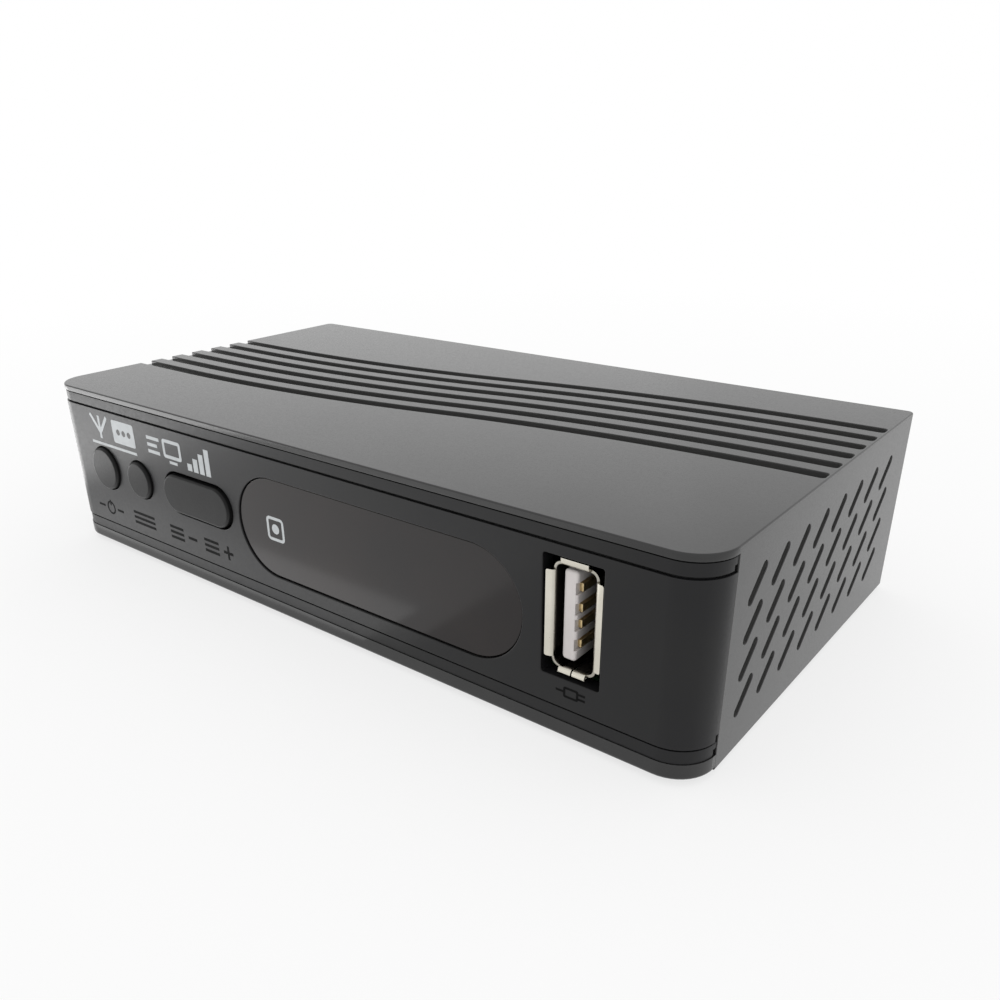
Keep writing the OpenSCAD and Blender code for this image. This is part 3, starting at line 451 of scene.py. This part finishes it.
def makeCover():
    c = coverShape
    piece = block("topCover", (-c["half"], c["front"], c["lid"]), (c["half"], c["rear"], c["top"]))
    roundOff(piece, lambda e: abs(way(e).z) > mostly and spot(e).y < 0, c["frontRound"], 16)
    roundOff(piece, lambda e: abs(way(e).z) > mostly and spot(e).y > c["rear"] - near, c["rearRound"], 6)
    roundOff(piece, lambda e: spot(e).z > c["top"] - near, c["topRound"], 4)

    def overSlab(at):
        return at.y > c["shoulder"] or (at.y > c["slabFront"] and abs(at.x) < c["slab"])

    def overWall(at):
        return at.z < c["under"] + near and abs(at.x) > c["side"]

    def outerRim(at):
        onLip = at.z > c["lid"] - c["rimLip"] and at.y < c["shoulder"]
        return abs(at.x) > c["half"] - c["rimSide"] or at.z > c["top"] - c["rimTop"] or onLip

    openMesh(piece)
    cuts = [((0, y, 0), (0, 1, 0)) for y in (c["slabFront"], c["shoulder"])]
    cuts += [((x, 0, 0), (1, 0, 0)) for x in (-c["side"], -c["slab"], c["slab"], c["side"])]
    for place, normal in cuts:
        choose(piece, "FACE", lambda f: f.normal.z < -mostly)
        bpy.ops.mesh.bisect(plane_co=Vector(place) * mm, plane_no=normal)
    pushFaces(piece, lambda f: f.normal.z < -mostly and overSlab(spot(f)), (0, 0, c["under"] - c["lid"]))
    pushFaces(piece, lambda f: f.normal.z < -mostly and overWall(spot(f)), (0, 0, c["foot"] - c["under"]))
    closeMesh()
    addBosses(piece)
    cutAway(piece, makeGrooves())
    cutAway(piece, makeVents())
    roundOff(piece, lambda e: ridge(e) and outerRim(spot(e)), c["rim"], 3)
    finishPiece(piece, "top_cover")


makeCover()
print("top cover made")


# Front panel

panelShape = dict(half=60, front=-35.85, end=-30.85, corner=55, low=2.9, high=26.7,
                  lines=(4.55, 4.8, 24.8, 25.05, 26.56), strip=0.12, line=0.45, wall=2.0, merge=0.002,
                  edge=0.07, outer=4.4, rim=0.14, holeCorner=0.3, ahead=1, behind=3, drill=6,
                  slits=(2.9, 4.8, 24.8), slit=(0.6, 0.9), slitReach=3)
openings = dict(power=(-47.5, 14.8, 3.7), menu=(-37.7, 14.8, 3.2), rocker=(-22.75, 14.8, 16.7, 6.9),
                window=(12.35, 14.4, 50.5, 15.0), data=(44.1, 16.0, 7.72, 14.9))
earShape = dict(wide=3.4, near=3.55, far=5.15, rear=-31.05, sink=0.5, pivot=-32.75, hole=0.86, drill=12)


def slotAt(name, opening, yLow, yHigh, steps=20):
    x, z, wide, high = opening
    return slotBar(name, (x - wide / 2, yLow, z - high / 2), (x + wide / 2, yHigh, z + high / 2), 1, steps)


def sweepPanel():  # profile of the left end, swept round both corners
    p = panelShape
    lines = p["lines"]
    place = (-p["half"] + (p["wall"] + p["line"]) / 2, p["end"], (p["low"] + p["high"]) / 2)
    rest()
    bpy.ops.mesh.primitive_plane_add(size=1, rotation=(math.pi / 2, 0, 0), location=Vector(place) * mm)
    bpy.context.object.scale = ((p["wall"] - p["line"]) * mm, (p["high"] - p["low"]) * mm, 1)
    piece = settle("frontPanel")
    openMesh(piece)
    for z in lines:
        bpy.ops.mesh.select_all(action="SELECT")
        bpy.ops.mesh.bisect(plane_co=(0, 0, z * mm), plane_no=(0, 0, 1))
    face = -p["half"] + p["line"] + near
    setBack = p["line"] - p["strip"]
    bands = ((lines[1], lines[2], p["line"]), (p["low"], lines[0], setBack), (lines[3], lines[4], setBack))
    for low, high, out in bands:
        choose(piece, "EDGE",
               lambda e: abs(way(e).z) > mostly and low < spot(e).z < high and spot(e).x < face)
        extrude((-out * mm, 0, 0))
    bpy.ops.mesh.select_all(action="SELECT")
    quarter = dict(steps=16, angle=-math.pi / 2, axis=(0, 0, 1))
    bpy.ops.mesh.spin(center=Vector((-p["corner"], p["end"], 0)) * mm, **quarter)
    extrude((2 * p["corner"] * mm, 0, 0))
    bpy.ops.mesh.spin(center=Vector((p["corner"], p["end"], 0)) * mm, **quarter)
    mergeClose(p["merge"])
    bpy.ops.mesh.normals_make_consistent(inside=False)
    closeMesh()
    return piece


def openPanel(piece):
    p = panelShape
    wide, high = p["slit"]
    for x in (-p["half"], p["half"]):
        for z in p["slits"]:
            cutAway(piece, block("slit", (x - p["slitReach"], p["end"] - wide, z - near),
                                 (x + p["slitReach"], p["end"] + 1, z + high)))
    ahead, behind = p["front"] - p["ahead"], p["front"] + p["behind"]
    for name in ("power", "menu"):
        x, z, radius = openings[name]
        cutAway(piece, bar("hole", "Y", (x, (ahead + behind) / 2, z), radius, p["drill"], 64))
    for name in ("rocker", "window"):
        cutAway(piece, slotAt("hole", openings[name], ahead, behind))
    x, z, wide, high = openings["data"]
    hole = block("hole", (x - wide / 2, ahead, z - high / 2), (x + wide / 2, behind, z + high / 2))
    roundOff(hole, lambda e: abs(way(e).y) > mostly, p["holeCorner"], 4)
    cutAway(piece, hole)


def addEars(piece):  # they hold the rocker's pins
    ear = earShape
    half = ear["wide"] / 2
    inside = panelShape["front"] + panelShape["wall"] - ear["sink"]
    x, z = openings["rocker"][:2]
    for side in (-1, 1):
        low, high = sorted((z + side * ear["near"], z + side * ear["far"]))
        addOn(piece, block("ear", (x - half, inside, low), (x + half, ear["rear"], high)))
    cutAway(piece, bar("pivotHole", "Z", (x, ear["pivot"], z), ear["hole"], ear["drill"], 24))


def makeFrontPanel():
    p = panelShape
    piece = sweepPanel()

    def outside(at):
        return math.hypot(max(abs(at.x) - p["corner"], 0), min(at.y - p["end"], 0)) > p["outer"]

    def lengthwise(edge):
        return ridge(edge) and abs(way(edge).z) < 0.1 and spot(edge).y < p["end"] - 0.05

    roundOff(piece, lambda e: lengthwise(e) and outside(spot(e)), p["edge"], 2)
    openPanel(piece)
    roundOff(piece, lambda e: ridge(e) and spot(e).y < p["front"] + 2 * near, p["rim"], 3)
    addEars(piece)
    finishPiece(piece, "front_panel")


makeFrontPanel()
print("front panel made")


# Window, keys

lensShape = dict(size=(52.5, 17.0), step=1.1, rear=-32.65, shelf=-33.85, face=-35.6, edge=0.15)
buttonShape = dict(face=-36.45, collarFront=-33.7, collarRear=-32.9, stemEnd=-31.35, collar=1.0, stem=1.5,
                   edge=0.45, gap=0.12)
rockerShape = dict(size=(16.0, 6.2), face=-36.45, rear=-33.35, crease=0.05, flat=4.9, edge=0.4, edgeBand=0.32,
                   pin=(0.8, 9.2, -32.75), stem=(1.5, 5.0, -31.47), sink=0.5)


def makeLens():
    s = lensShape
    x, z = openings["window"][:2]
    piece = slotAt("displayWindow", (x, z, *s["size"]), s["shelf"], s["rear"], 24)
    openMesh(piece)
    choose(piece, "FACE", lambda f: f.normal.y < -mostly)
    bpy.ops.mesh.inset(thickness=s["step"] * mm, depth=0)
    extrude((0, (s["face"] - s["shelf"]) * mm, 0))
    closeMesh()
    roundOff(piece, lambda e: ridge(e) and spot(e).y < s["face"] + near, s["edge"], 4)
    finishPiece(piece, "display_window")


def makeButton(name, node, body, opening):
    s = buttonShape
    x, z, hole = opening
    radius = hole - s["gap"]
    middle = (s["collarFront"] + s["collarRear"]) / 2
    piece = bar(name, "Y", (x, middle, z), radius + s["collar"], s["collarRear"] - s["collarFront"], 64)
    openMesh(piece)
    choose(piece, "FACE", lambda f: f.normal.y < -mostly)
    bpy.ops.mesh.inset(thickness=s["collar"] * mm, depth=0)
    extrude((0, (s["face"] - s["collarFront"]) * mm, 0))
    choose(piece, "FACE", lambda f: f.normal.y > mostly)
    bpy.ops.mesh.inset(thickness=(radius + s["collar"] - s["stem"]) * mm, depth=0)
    extrude((0, (s["stemEnd"] - s["collarRear"]) * mm, 0))
    closeMesh()
    roundOff(piece, lambda e: ridge(e) and spot(e).y < s["face"] + near, s["edge"], 5)
    finishPiece(piece, node, body)


def makeRocker():
    s = rockerShape
    x, z = openings["rocker"][:2]
    piece = slotAt("channelRocker", (x, z, *s["size"]), s["face"], s["rear"], 20)
    openMesh(piece)
    for place in (x - s["flat"], x, x + s["flat"]):
        choose(piece, "FACE", lambda f: f.normal.y < -mostly)
        bpy.ops.mesh.bisect(plane_co=(place * mm, 0, 0), plane_no=(1, 0, 0))
    choose(piece, "VERT", lambda v: abs(v.co.x / mm - x) < near and v.co.y / mm < s["face"] + near)
    bpy.ops.transform.translate(value=(0, s["crease"] * mm, 0))
    closeMesh()
    roundOff(piece, lambda e: ridge(e) and spot(e).y < s["face"] + s["edgeBand"], s["edge"], 4)
    radius, long, y = s["pin"]
    addOn(piece, bar("pin", "Z", (x, y, z), radius, long, 24))
    radius, arm, end = s["stem"]
    start = s["rear"] - s["sink"]
    for side in (-1, 1):
        addOn(piece, bar("stem", "Y", (x + side * arm, (start + end) / 2, z), radius, end - start, 32))
    finishPiece(piece, "channel_rocker", "channel_key")


makeLens()
makeButton("powerButton", "power_button", "power_key", openings["power"])
makeButton("menuButton", "menu_button", "menu_key", openings["menu"])
makeRocker()
print("window and keys made")


# Data socket

dataShape = dict(x=44.1, z=16.0, wide=5.12, high=12.5, sheet=0.35, root=-35.10, rear=-22.85, corner=0.8,
                 sideLip=5.4, endLip=1.75, endFlare=(0.6, 0.85), tipRound=0.25,
                 path=((0.10, 0.05), (0.22, 0.16), (0.33, 0.36), (0.41, 0.65), (0.45, 1.1)),
                 seam=0.15, seamFront=-36, seamReach=3, edge=0.05, legs=(-32.85, -26.85), leg=2.0, legTop=0.8,
                 deck=8.4)
tongueShape = dict(low=(42.26, -34.65, 10.4), high=(44.10, -26.20, 21.6), mid=16.0,
                   blockLow=(41.62, -26.25, 9.83), blockHigh=(46.58, -22.85, 22.17), corner=0.45,
                   chamfer=0.35, contacts=(-3.5, -1.0, 1.0, 3.5), notch=0.28, notchHalf=0.72, notchEnd=0.3,
                   edge=0.06)
bladeShape = dict(front=-33.85, half=0.5, sink=0.05, proud=0.2, tip=0.12, edge=0.06)


def flareLips(piece):  # four lips drawn out from the shell's mouth along a curved path
    s = dataShape

    def atMouth(at):
        return abs(at.y - s["root"]) < hair

    def besideSide(at):
        return atMouth(at) and abs(at.z - s["z"]) < s["sideLip"] + near

    def besideEnd(at):
        return atMouth(at) and abs(at.x - s["x"]) < s["endLip"] + near

    halfX, halfZ = s["wide"] / 2, s["high"] / 2
    lips = (((-1, 0), lambda at: besideSide(at) and at.x < s["x"] - halfX + near),
            ((1, 0), lambda at: besideSide(at) and at.x > s["x"] + halfX - near),
            ((0, -1), lambda at: besideEnd(at) and at.z < s["z"] - halfZ + near),
            ((0, 1), lambda at: besideEnd(at) and at.z > s["z"] + halfZ - near))
    for (outX, outZ), beside in lips:
        choose(piece, "EDGE", lambda e: all(beside(v.co / mm) for v in e.verts))
        done = (0, 0)
        flare = s["endFlare"][outZ > 0] if outZ else 1
        for ahead, out in s["path"]:
            out *= flare
            extrude(Vector((outX * (out - done[1]), done[0] - ahead, outZ * (out - done[1]))) * mm)
            done = (ahead, out)
    tip = s["root"] - s["path"][-1][0]
    choose(piece, "VERT", lambda v: abs(v.co.y / mm - tip) < hair and len(v.link_edges) == 2)
    bpy.ops.mesh.bevel(offset=s["tipRound"] * mm, segments=5, affect="VERTICES", clamp_overlap=False)


def makeDataShell():
    s = dataShape
    halfX, halfZ = s["wide"] / 2, s["high"] / 2
    bottom = s["z"] - halfZ
    piece = block("dataShell", (s["x"] - halfX, s["root"], bottom),
                  (s["x"] + halfX, s["rear"], s["z"] + halfZ))
    roundOff(piece, lambda e: abs(way(e).y) > mostly, s["corner"], 6)
    openMesh(piece)
    choose(piece, "FACE", lambda f: abs(f.normal.y) > mostly)
    bpy.ops.mesh.delete(type="FACE")
    cuts = [((s["x"] + x, 0, 0), (1, 0, 0)) for x in (-s["endLip"], s["endLip"])]
    cuts += [((0, 0, s["z"] + z), (0, 0, 1)) for z in (-s["sideLip"], s["sideLip"])]
    for place, normal in cuts:
        bpy.ops.mesh.select_all(action="SELECT")
        bpy.ops.mesh.bisect(plane_co=Vector(place) * mm, plane_no=normal, threshold=hair * mm)
    flareLips(piece)
    bpy.ops.mesh.select_all(action="SELECT")
    bpy.ops.mesh.normals_make_consistent(inside=True)  # the lips turn it round
    closeMesh()
    hold(piece)
    wall = piece.modifiers.new("wall", "SOLIDIFY")
    wall.thickness = s["sheet"] * mm
    wall.offset = 1
    wall.use_even_offset = True
    bpy.ops.object.modifier_apply(modifier=wall.name)
    cutAway(piece, block("seam", (s["x"] - s["seam"] / 2, s["seamFront"], bottom - 2),
                         (s["x"] + s["seam"] / 2, s["root"] + s["seamReach"], bottom + 0.1)))
    roundOff(piece, lambda e: ridge(e, 50), s["edge"], 2)
    for side in (-1, 1):
        inner, outer = sorted((side * (halfX + near), side * (halfX + s["sheet"] - near)))
        for y in s["legs"]:
            addOn(piece, block("leg", (s["x"] + inner, y, s["deck"]),
                               (s["x"] + outer, y + s["leg"], bottom + s["legTop"])))
    finishPiece(piece, "data_socket_shell", finish=shellPaintedShadeFinish)


def makeTongue():
    t = tongueShape
    piece = block("dataInsulator", t["blockLow"], t["blockHigh"])
    tongue = block("tongue", t["low"], t["high"])
    roundOff(tongue, lambda e: abs(way(e).y) > mostly, t["corner"], 4)
    roundOff(tongue, lambda e: spot(e).y < t["low"][1] + near, t["chamfer"], 3)
    addOn(piece, tongue)
    for z in t["contacts"]:
        middle = t["mid"] + z
        cutAway(piece, block("notch", (t["high"][0] - t["notch"], t["low"][1] - 1, middle - t["notchHalf"]),
                             (t["high"][0] + 1, t["blockLow"][1] - t["notchEnd"], middle + t["notchHalf"])))
    roundOff(piece, lambda e: ridge(e, 50) and spot(e).y < t["blockLow"][1], t["edge"], 2)
    finishPiece(piece, "data_socket_insulator", finish=tonguePaintedShadeFinish)


def blade(name, z):  # one contact, lying in its notch
    t, b = tongueShape, bladeShape
    middle = t["mid"] + z
    return block(name, (t["high"][0] - t["notch"] - b["sink"], b["front"], middle - b["half"]),
                 (t["high"][0] + b["proud"], t["blockLow"][1] + b["sink"], middle + b["half"]))


def makeDataContacts():
    b = bladeShape
    first, *others = tongueShape["contacts"]
    piece = blade("dataContacts", first)
    roundOff(piece, lambda e: ridge(e) and spot(e).y < b["front"] + near, b["tip"], 3)
    for z in others:
        addOn(piece, blade("blade", z))
    roundOff(piece, lambda e: ridge(e, 50), b["edge"], 2)
    finishPiece(piece, "data_socket_contacts")


makeDataShell()
makeTongue()
makeDataContacts()
print("data socket made")


# Prints: boxes are left, low, right and high

printShape = dict(face=-35.85, lens=-35.6, thick=0.02)
aerialPrint = dict(mast=(-47.65, 20.0, -47.05, 23.8), arms=((-48.54, 50), (-46.16, -50)), armZ=22.41,
                   arm=(3.7, 0.6), underline=(-50.4, 18.85, -37.5, 19.3))
tilePrint = dict(box=(-43.6, 20.0, -37.5, 23.8), corner=0.4, dots=(-42.0, -40.5, -39.0), dotZ=21.9, dot=0.5)
screenPrint = dict(box=(-29.9, 20.2, -25.3, 23.2), corner=0.5, line=0.55, foot=(-28.6, 19.4, -26.6, 19.85),
                   rows=((-34.0, 22.4, -30.7, 22.95), (-34.0, 21.3, -31.4, 21.85),
                         (-34.0, 20.2, -30.9, 20.75)))
barsPrint = dict(count=4, left=-24.0, right=-22.9, pitch=1.5, foot=19.3, top=20.4, rise=1.0)
windowPrint = dict(box=(-7.0, 12.55, -3.4, 16.2), corner=0.7, line=0.45, dot=(-5.2, 14.4, 0.75))
powerPrint = dict(ring=(-48.7, 7.5, 1.2, 0.32), stroke=(-48.86, 7.9, -48.54, 8.9),
                  dashes=((-52.4, 7.3, -50.6, 7.7), (-46.8, 7.3, -45.0, 7.7)))
linesPrint = dict(count=3, low=6.5, high=6.95, pitch=0.9, menu=(-41.7, -35.8), down=(-31.5, -28.0),
                  up=(-22.6, -19.1), minus=(1.2, 7.4, 3.4, 7.85),
                  plus=((2.08, 6.5, 2.52, 7.4), (2.08, 7.85, 2.52, 8.75)))
plugPrint = dict(box=(43.4, 6.3, 45.4, 7.7), corner=0.25, line=0.28, lead=(42.4, 6.86, 43.4, 7.14),
                 prongs=((45.4, 6.55, 46.3, 6.83), (45.4, 7.17, 46.3, 7.45)))


def inked(name, parts, finish):  # joins flat parts into one print
    piece = parts[0]
    for part in parts[1:]:
        addOn(piece, part)
    piece.name = name
    piece.data.materials.clear()
    piece.data.materials.append(finishes[finish])
    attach(piece, "case")


def strip(x0, z0, x1, z1, face=printShape["face"]):
    return block("strip", (x0, face - printShape["thick"], z0), (x1, face + printShape["thick"], z1))


def slanted(x, z, long, wide, angle):
    piece = strip(-long / 2, -wide / 2, long / 2, wide / 2)
    hold(piece)
    piece.location = Vector((x, 0, z)) * mm
    piece.rotation_euler.y = math.radians(angle)
    return settle("slanted")


def disc(x, z, radius, face, sides):
    return bar("disc", "Y", (x, face, z), radius, 2 * printShape["thick"], sides)


def ring(x, z, radius, wide):
    face = printShape["face"]
    piece = disc(x, z, radius, face, 40)
    cutAway(piece, bar("ringHole", "Y", (x, face, z), radius - wide, 1, 40))
    return piece


def frameBox(x0, z0, x1, z1, radius, wide, face=printShape["face"]):
    piece = strip(x0, z0, x1, z1, face)
    roundOff(piece, lambda e: abs(way(e).y) > mostly, radius, 6)
    hole = block("frameHole", (x0 + wide, face - 1, z0 + wide), (x1 - wide, face + 1, z1 - wide))
    roundOff(hole, lambda e: abs(way(e).y) > mostly, max(radius - wide, 0.1), 6)
    cutAway(piece, hole)
    return piece


def threeLines(left, right):
    s = linesPrint
    ups = [s["pitch"] * i for i in range(s["count"])]
    return [strip(left, s["low"] + up, right, s["high"] + up) for up in ups]


def makeWhitePrints():
    s = aerialPrint
    arms = (slanted(x, s["armZ"], *s["arm"], angle) for x, angle in s["arms"])
    inked("aerialPrint", [strip(*s["mast"]), *arms, strip(*s["underline"])], "white_ink")
    s = tilePrint
    tile = strip(*s["box"])
    roundOff(tile, lambda e: abs(way(e).y) > mostly, s["corner"], 4)
    for x in s["dots"]:
        cutAway(tile, bar("dot", "Y", (x, printShape["face"], s["dotZ"]), s["dot"], 1, 24))
    inked("tilePrint", [tile], "white_ink")
    s = screenPrint
    screen = frameBox(*s["box"], s["corner"], s["line"])
    inked("screenPrint", [screen, strip(*s["foot"]), *(strip(*row) for row in s["rows"])], "white_ink")
    s = barsPrint
    bars = []
    for i in range(s["count"]):
        shift = s["pitch"] * i
        bars.append(strip(s["left"] + shift, s["foot"], s["right"] + shift, s["top"] + s["rise"] * i))
    inked("barsPrint", bars, "white_ink")
    s = windowPrint
    lens = printShape["lens"]
    x, z, radius = s["dot"]
    square = frameBox(*s["box"], s["corner"], s["line"], lens)
    inked("windowPrint", [square, disc(x, z, radius, lens, 32)], "white_ink")


def makeDarkPrints():
    s = powerPrint
    dashes = (strip(*dash) for dash in s["dashes"])
    inked("powerPrint", [ring(*s["ring"]), strip(*s["stroke"]), *dashes], "dark_ink")
    s = linesPrint
    inked("menuPrint", threeLines(*s["menu"]), "dark_ink")
    sides = (("downPrint", "down", (s["minus"],)), ("upPrint", "up", (s["minus"], *s["plus"])))
    for name, key, marks in sides:
        end = s[key][1]
        parts = threeLines(*s[key])
        parts += [strip(end + x0, z0, end + x1, z1) for x0, z0, x1, z1 in marks]
        inked(name, parts, "dark_ink")
    s = plugPrint
    plug = frameBox(*s["box"], s["corner"], s["line"])
    inked("plugPrint", [plug, *(strip(*prong) for prong in s["prongs"]), strip(*s["lead"])], "dark_ink")


makeWhitePrints()
makeDarkPrints()
print("prints made")


# Base plate, rear panel, rear sockets and feet: the CAD shapes with their outer edges eased

easedShapes = dict(
    base_plate=dict(name="basePlate", width=0.5, steps=4,
                    where=lambda at: at.z < 0.82 and (abs(at.x) > 57.8 or at.y < -30.8 or at.y > 27.4)),
    rear_panel=dict(name="rearPanel", width=0.12, steps=2, where=lambda at: at.y > 27.4),
    aerial_barrel=dict(name="aerialBarrel", width=0.18, steps=3, where=lambda at: at.y > 36),
    loop_barrel=dict(name="loopBarrel", width=0.18, steps=3, where=lambda at: at.y > 27.2),
    video_socket_shell=dict(name="videoShell", width=0.06, steps=2, where=lambda at: at.y > 27.2),
    av_jack=dict(name="avJack", width=0.2, steps=3, where=lambda at: at.y > 28),
    inlet_body=dict(name="inletBody", width=0.12, steps=2, where=lambda at: at.y > 27.4),
    rubber_feet=dict(name="rubberFeet", width=0.25, steps=3, where=lambda at: at.z < 0.05))
barrelLine = dict(radius=dict(aerial_barrel=5.4, loop_barrel=4.7625), y=34.9, wide=0.5, deep=0.14)
footDish = dict(x=44, y=(-26.85, 18.45), radius=2.4, deep=0.25)


def copyOf(node, name):
    source = nodes[node]
    piece = bpy.data.objects.new(name, source.data.copy())
    bpy.context.collection.objects.link(piece)
    piece.matrix_world = source.matrix_world
    openMesh(piece)
    mergeClose(hair)
    bpy.ops.mesh.dissolve_limited(angle_limit=math.radians(0.5))
    closeMesh()
    return piece


def turnLine(piece, node):  # shallow line turned round a barrel near its mouth
    low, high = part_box(node)
    middle = (low + high) / 2 / mm
    at = (middle.x, barrelLine["y"], middle.z)
    radius = barrelLine["radius"][node]
    cutter = bar("line", "Y", at, radius + 1, barrelLine["wide"], 64)
    cutAway(cutter, bar("lineCore", "Y", at, radius - barrelLine["deep"], 2, 64))
    cutAway(piece, cutter)


def dishFeet(piece):  # hollow sole in each foot
    for x in (-footDish["x"], footDish["x"]):
        for y in footDish["y"]:
            cutAway(piece, bar("dish", "Z", (x, y, 0), footDish["radius"], 2 * footDish["deep"], 32))


def makeEased():
    for node, shape in easedShapes.items():
        piece = copyOf(node, shape["name"])
        roundOff(piece, lambda e: ridge(e) and shape["where"](spot(e)), shape["width"], shape["steps"])
        if node in barrelLine["radius"]:
            turnLine(piece, node)
        if node == "rubber_feet":
            dishFeet(piece)
        finishPiece(piece, node)


makeEased()
print("base plate, rear pieces and feet made")


# Floor, light and camera

floorSetup = dict(size=4.0, nearShare=0.72, farShare=1.0, fadeFrom=0.10, fadeTo=0.30, colour=(0.9, 0.9, 0.9))
lightSetup = dict(
    fill=1.0,
    lamps=dict(  # power, size, place and aim
        softLamp=(0.5, (1.2, 1.2), (-0.75, 0.53, 0.50), (0, 0, 0)),
        leftSheet=(0.12, (0.11, 0.11), (-0.14, -0.08, 0.001), (-0.14, -0.08, 1)),
        frontSheet=(0.008, (0.08, 0.08), (-0.025, -0.08, 0.001), (-0.025, -0.08, 1)),
        footSheet=(0.0022, (0.085, 0.011), (-0.033, -0.043, 0.001), (-0.033, -0.043, 1)),
        rearLamp=(0.02, (0.20, 0.05), (0.20, 0.30, 0.03), (0, 0, 0))))
cameraSetup = dict(place=(90.59, -109.24, 63.65), yaw=39.24, pitch=25.41, roll=-0.956, lens=32.76,
                   sensor=36.0, shift=(0.02647, 0.06884), clip=0.005)


def seenRays(tree):  # 1 for the camera's own rays and for what metal and glass show
    paths = tree.nodes.new("ShaderNodeLightPath")
    total = paths.outputs["Is Camera Ray"]
    for name in ("Is Glossy Ray", "Is Transmission Ray"):
        larger = tree.nodes.new("ShaderNodeMath")
        larger.operation = "MAXIMUM"
        tree.links.new(total, larger.inputs[0])
        tree.links.new(paths.outputs[name], larger.inputs[1])
        total = larger.outputs["Value"]
    return total


def makeFloor():
    rest()
    bpy.ops.mesh.primitive_plane_add(size=floorSetup["size"])
    floor = bpy.context.object
    floor.name = "floor"
    material = bpy.data.materials.new("paleFloor")
    material.use_nodes = True
    tree = material.node_tree
    tree.nodes.clear()
    output = tree.nodes.new("ShaderNodeOutputMaterial")
    matte = tree.nodes.new("ShaderNodeBsdfDiffuse")
    matte.inputs["Color"].default_value = (*floorSetup["colour"], 1)
    white = tree.nodes.new("ShaderNodeEmission")
    mix = tree.nodes.new("ShaderNodeMixShader")
    away = tree.nodes.new("ShaderNodeVectorMath")
    away.operation = "LENGTH"
    tree.links.new(objectPoint(tree), away.inputs[0])
    share = spread(tree, away.outputs["Value"], floorSetup["nearShare"], floorSetup["farShare"],
                   floorSetup["fadeFrom"], floorSetup["fadeTo"])
    product = tree.nodes.new("ShaderNodeMath")
    product.operation = "MULTIPLY"
    tree.links.new(seenRays(tree), product.inputs[0])
    tree.links.new(share, product.inputs[1])
    tree.links.new(product.outputs["Value"], mix.inputs["Fac"])
    tree.links.new(matte.outputs["BSDF"], mix.inputs[1])
    tree.links.new(white.outputs["Emission"], mix.inputs[2])
    tree.links.new(mix.outputs["Shader"], output.inputs["Surface"])
    floor.data.materials.append(material)


def makeLight():
    world = bpy.data.worlds.new("studio")
    bpy.context.scene.world = world
    world.use_nodes = True
    background = world.node_tree.nodes["Background"]
    background.inputs["Color"].default_value = (1, 1, 1, 1)
    background.inputs["Strength"].default_value = lightSetup["fill"]
    for name, (power, size, place, aim) in lightSetup["lamps"].items():
        rest()
        bpy.ops.object.light_add(type="AREA", location=place)
        lamp = bpy.context.object
        lamp.name = name
        lamp.data.energy = power
        lamp.data.shape = "RECTANGLE"
        lamp.data.size, lamp.data.size_y = size
        lamp.visible_camera = False
        lamp.rotation_euler = (Vector(aim) - Vector(place)).to_track_quat("-Z", "Y").to_euler()


def makeCamera():
    rest()
    bpy.ops.object.camera_add()
    camera = bpy.context.object
    camera.name = "photoCamera"
    yaw, pitch, roll = (math.radians(cameraSetup[k]) for k in ("yaw", "pitch", "roll"))
    place = Matrix.Translation(Vector(cameraSetup["place"]) * mm)
    camera.matrix_world = (place @ Matrix.Rotation(yaw, 4, "Z")
                           @ Matrix.Rotation(math.pi / 2 - pitch, 4, "X") @ Matrix.Rotation(roll, 4, "Z"))
    camera.data.lens = cameraSetup["lens"]
    camera.data.sensor_width = cameraSetup["sensor"]
    camera.data.shift_x, camera.data.shift_y = cameraSetup["shift"]
    camera.data.clip_start = cameraSetup["clip"]
    bpy.context.scene.camera = camera


makeFloor()
makeLight()
makeCamera()
bpy.context.scene.view_settings.view_transform = "Standard"
print("floor, light and camera set")
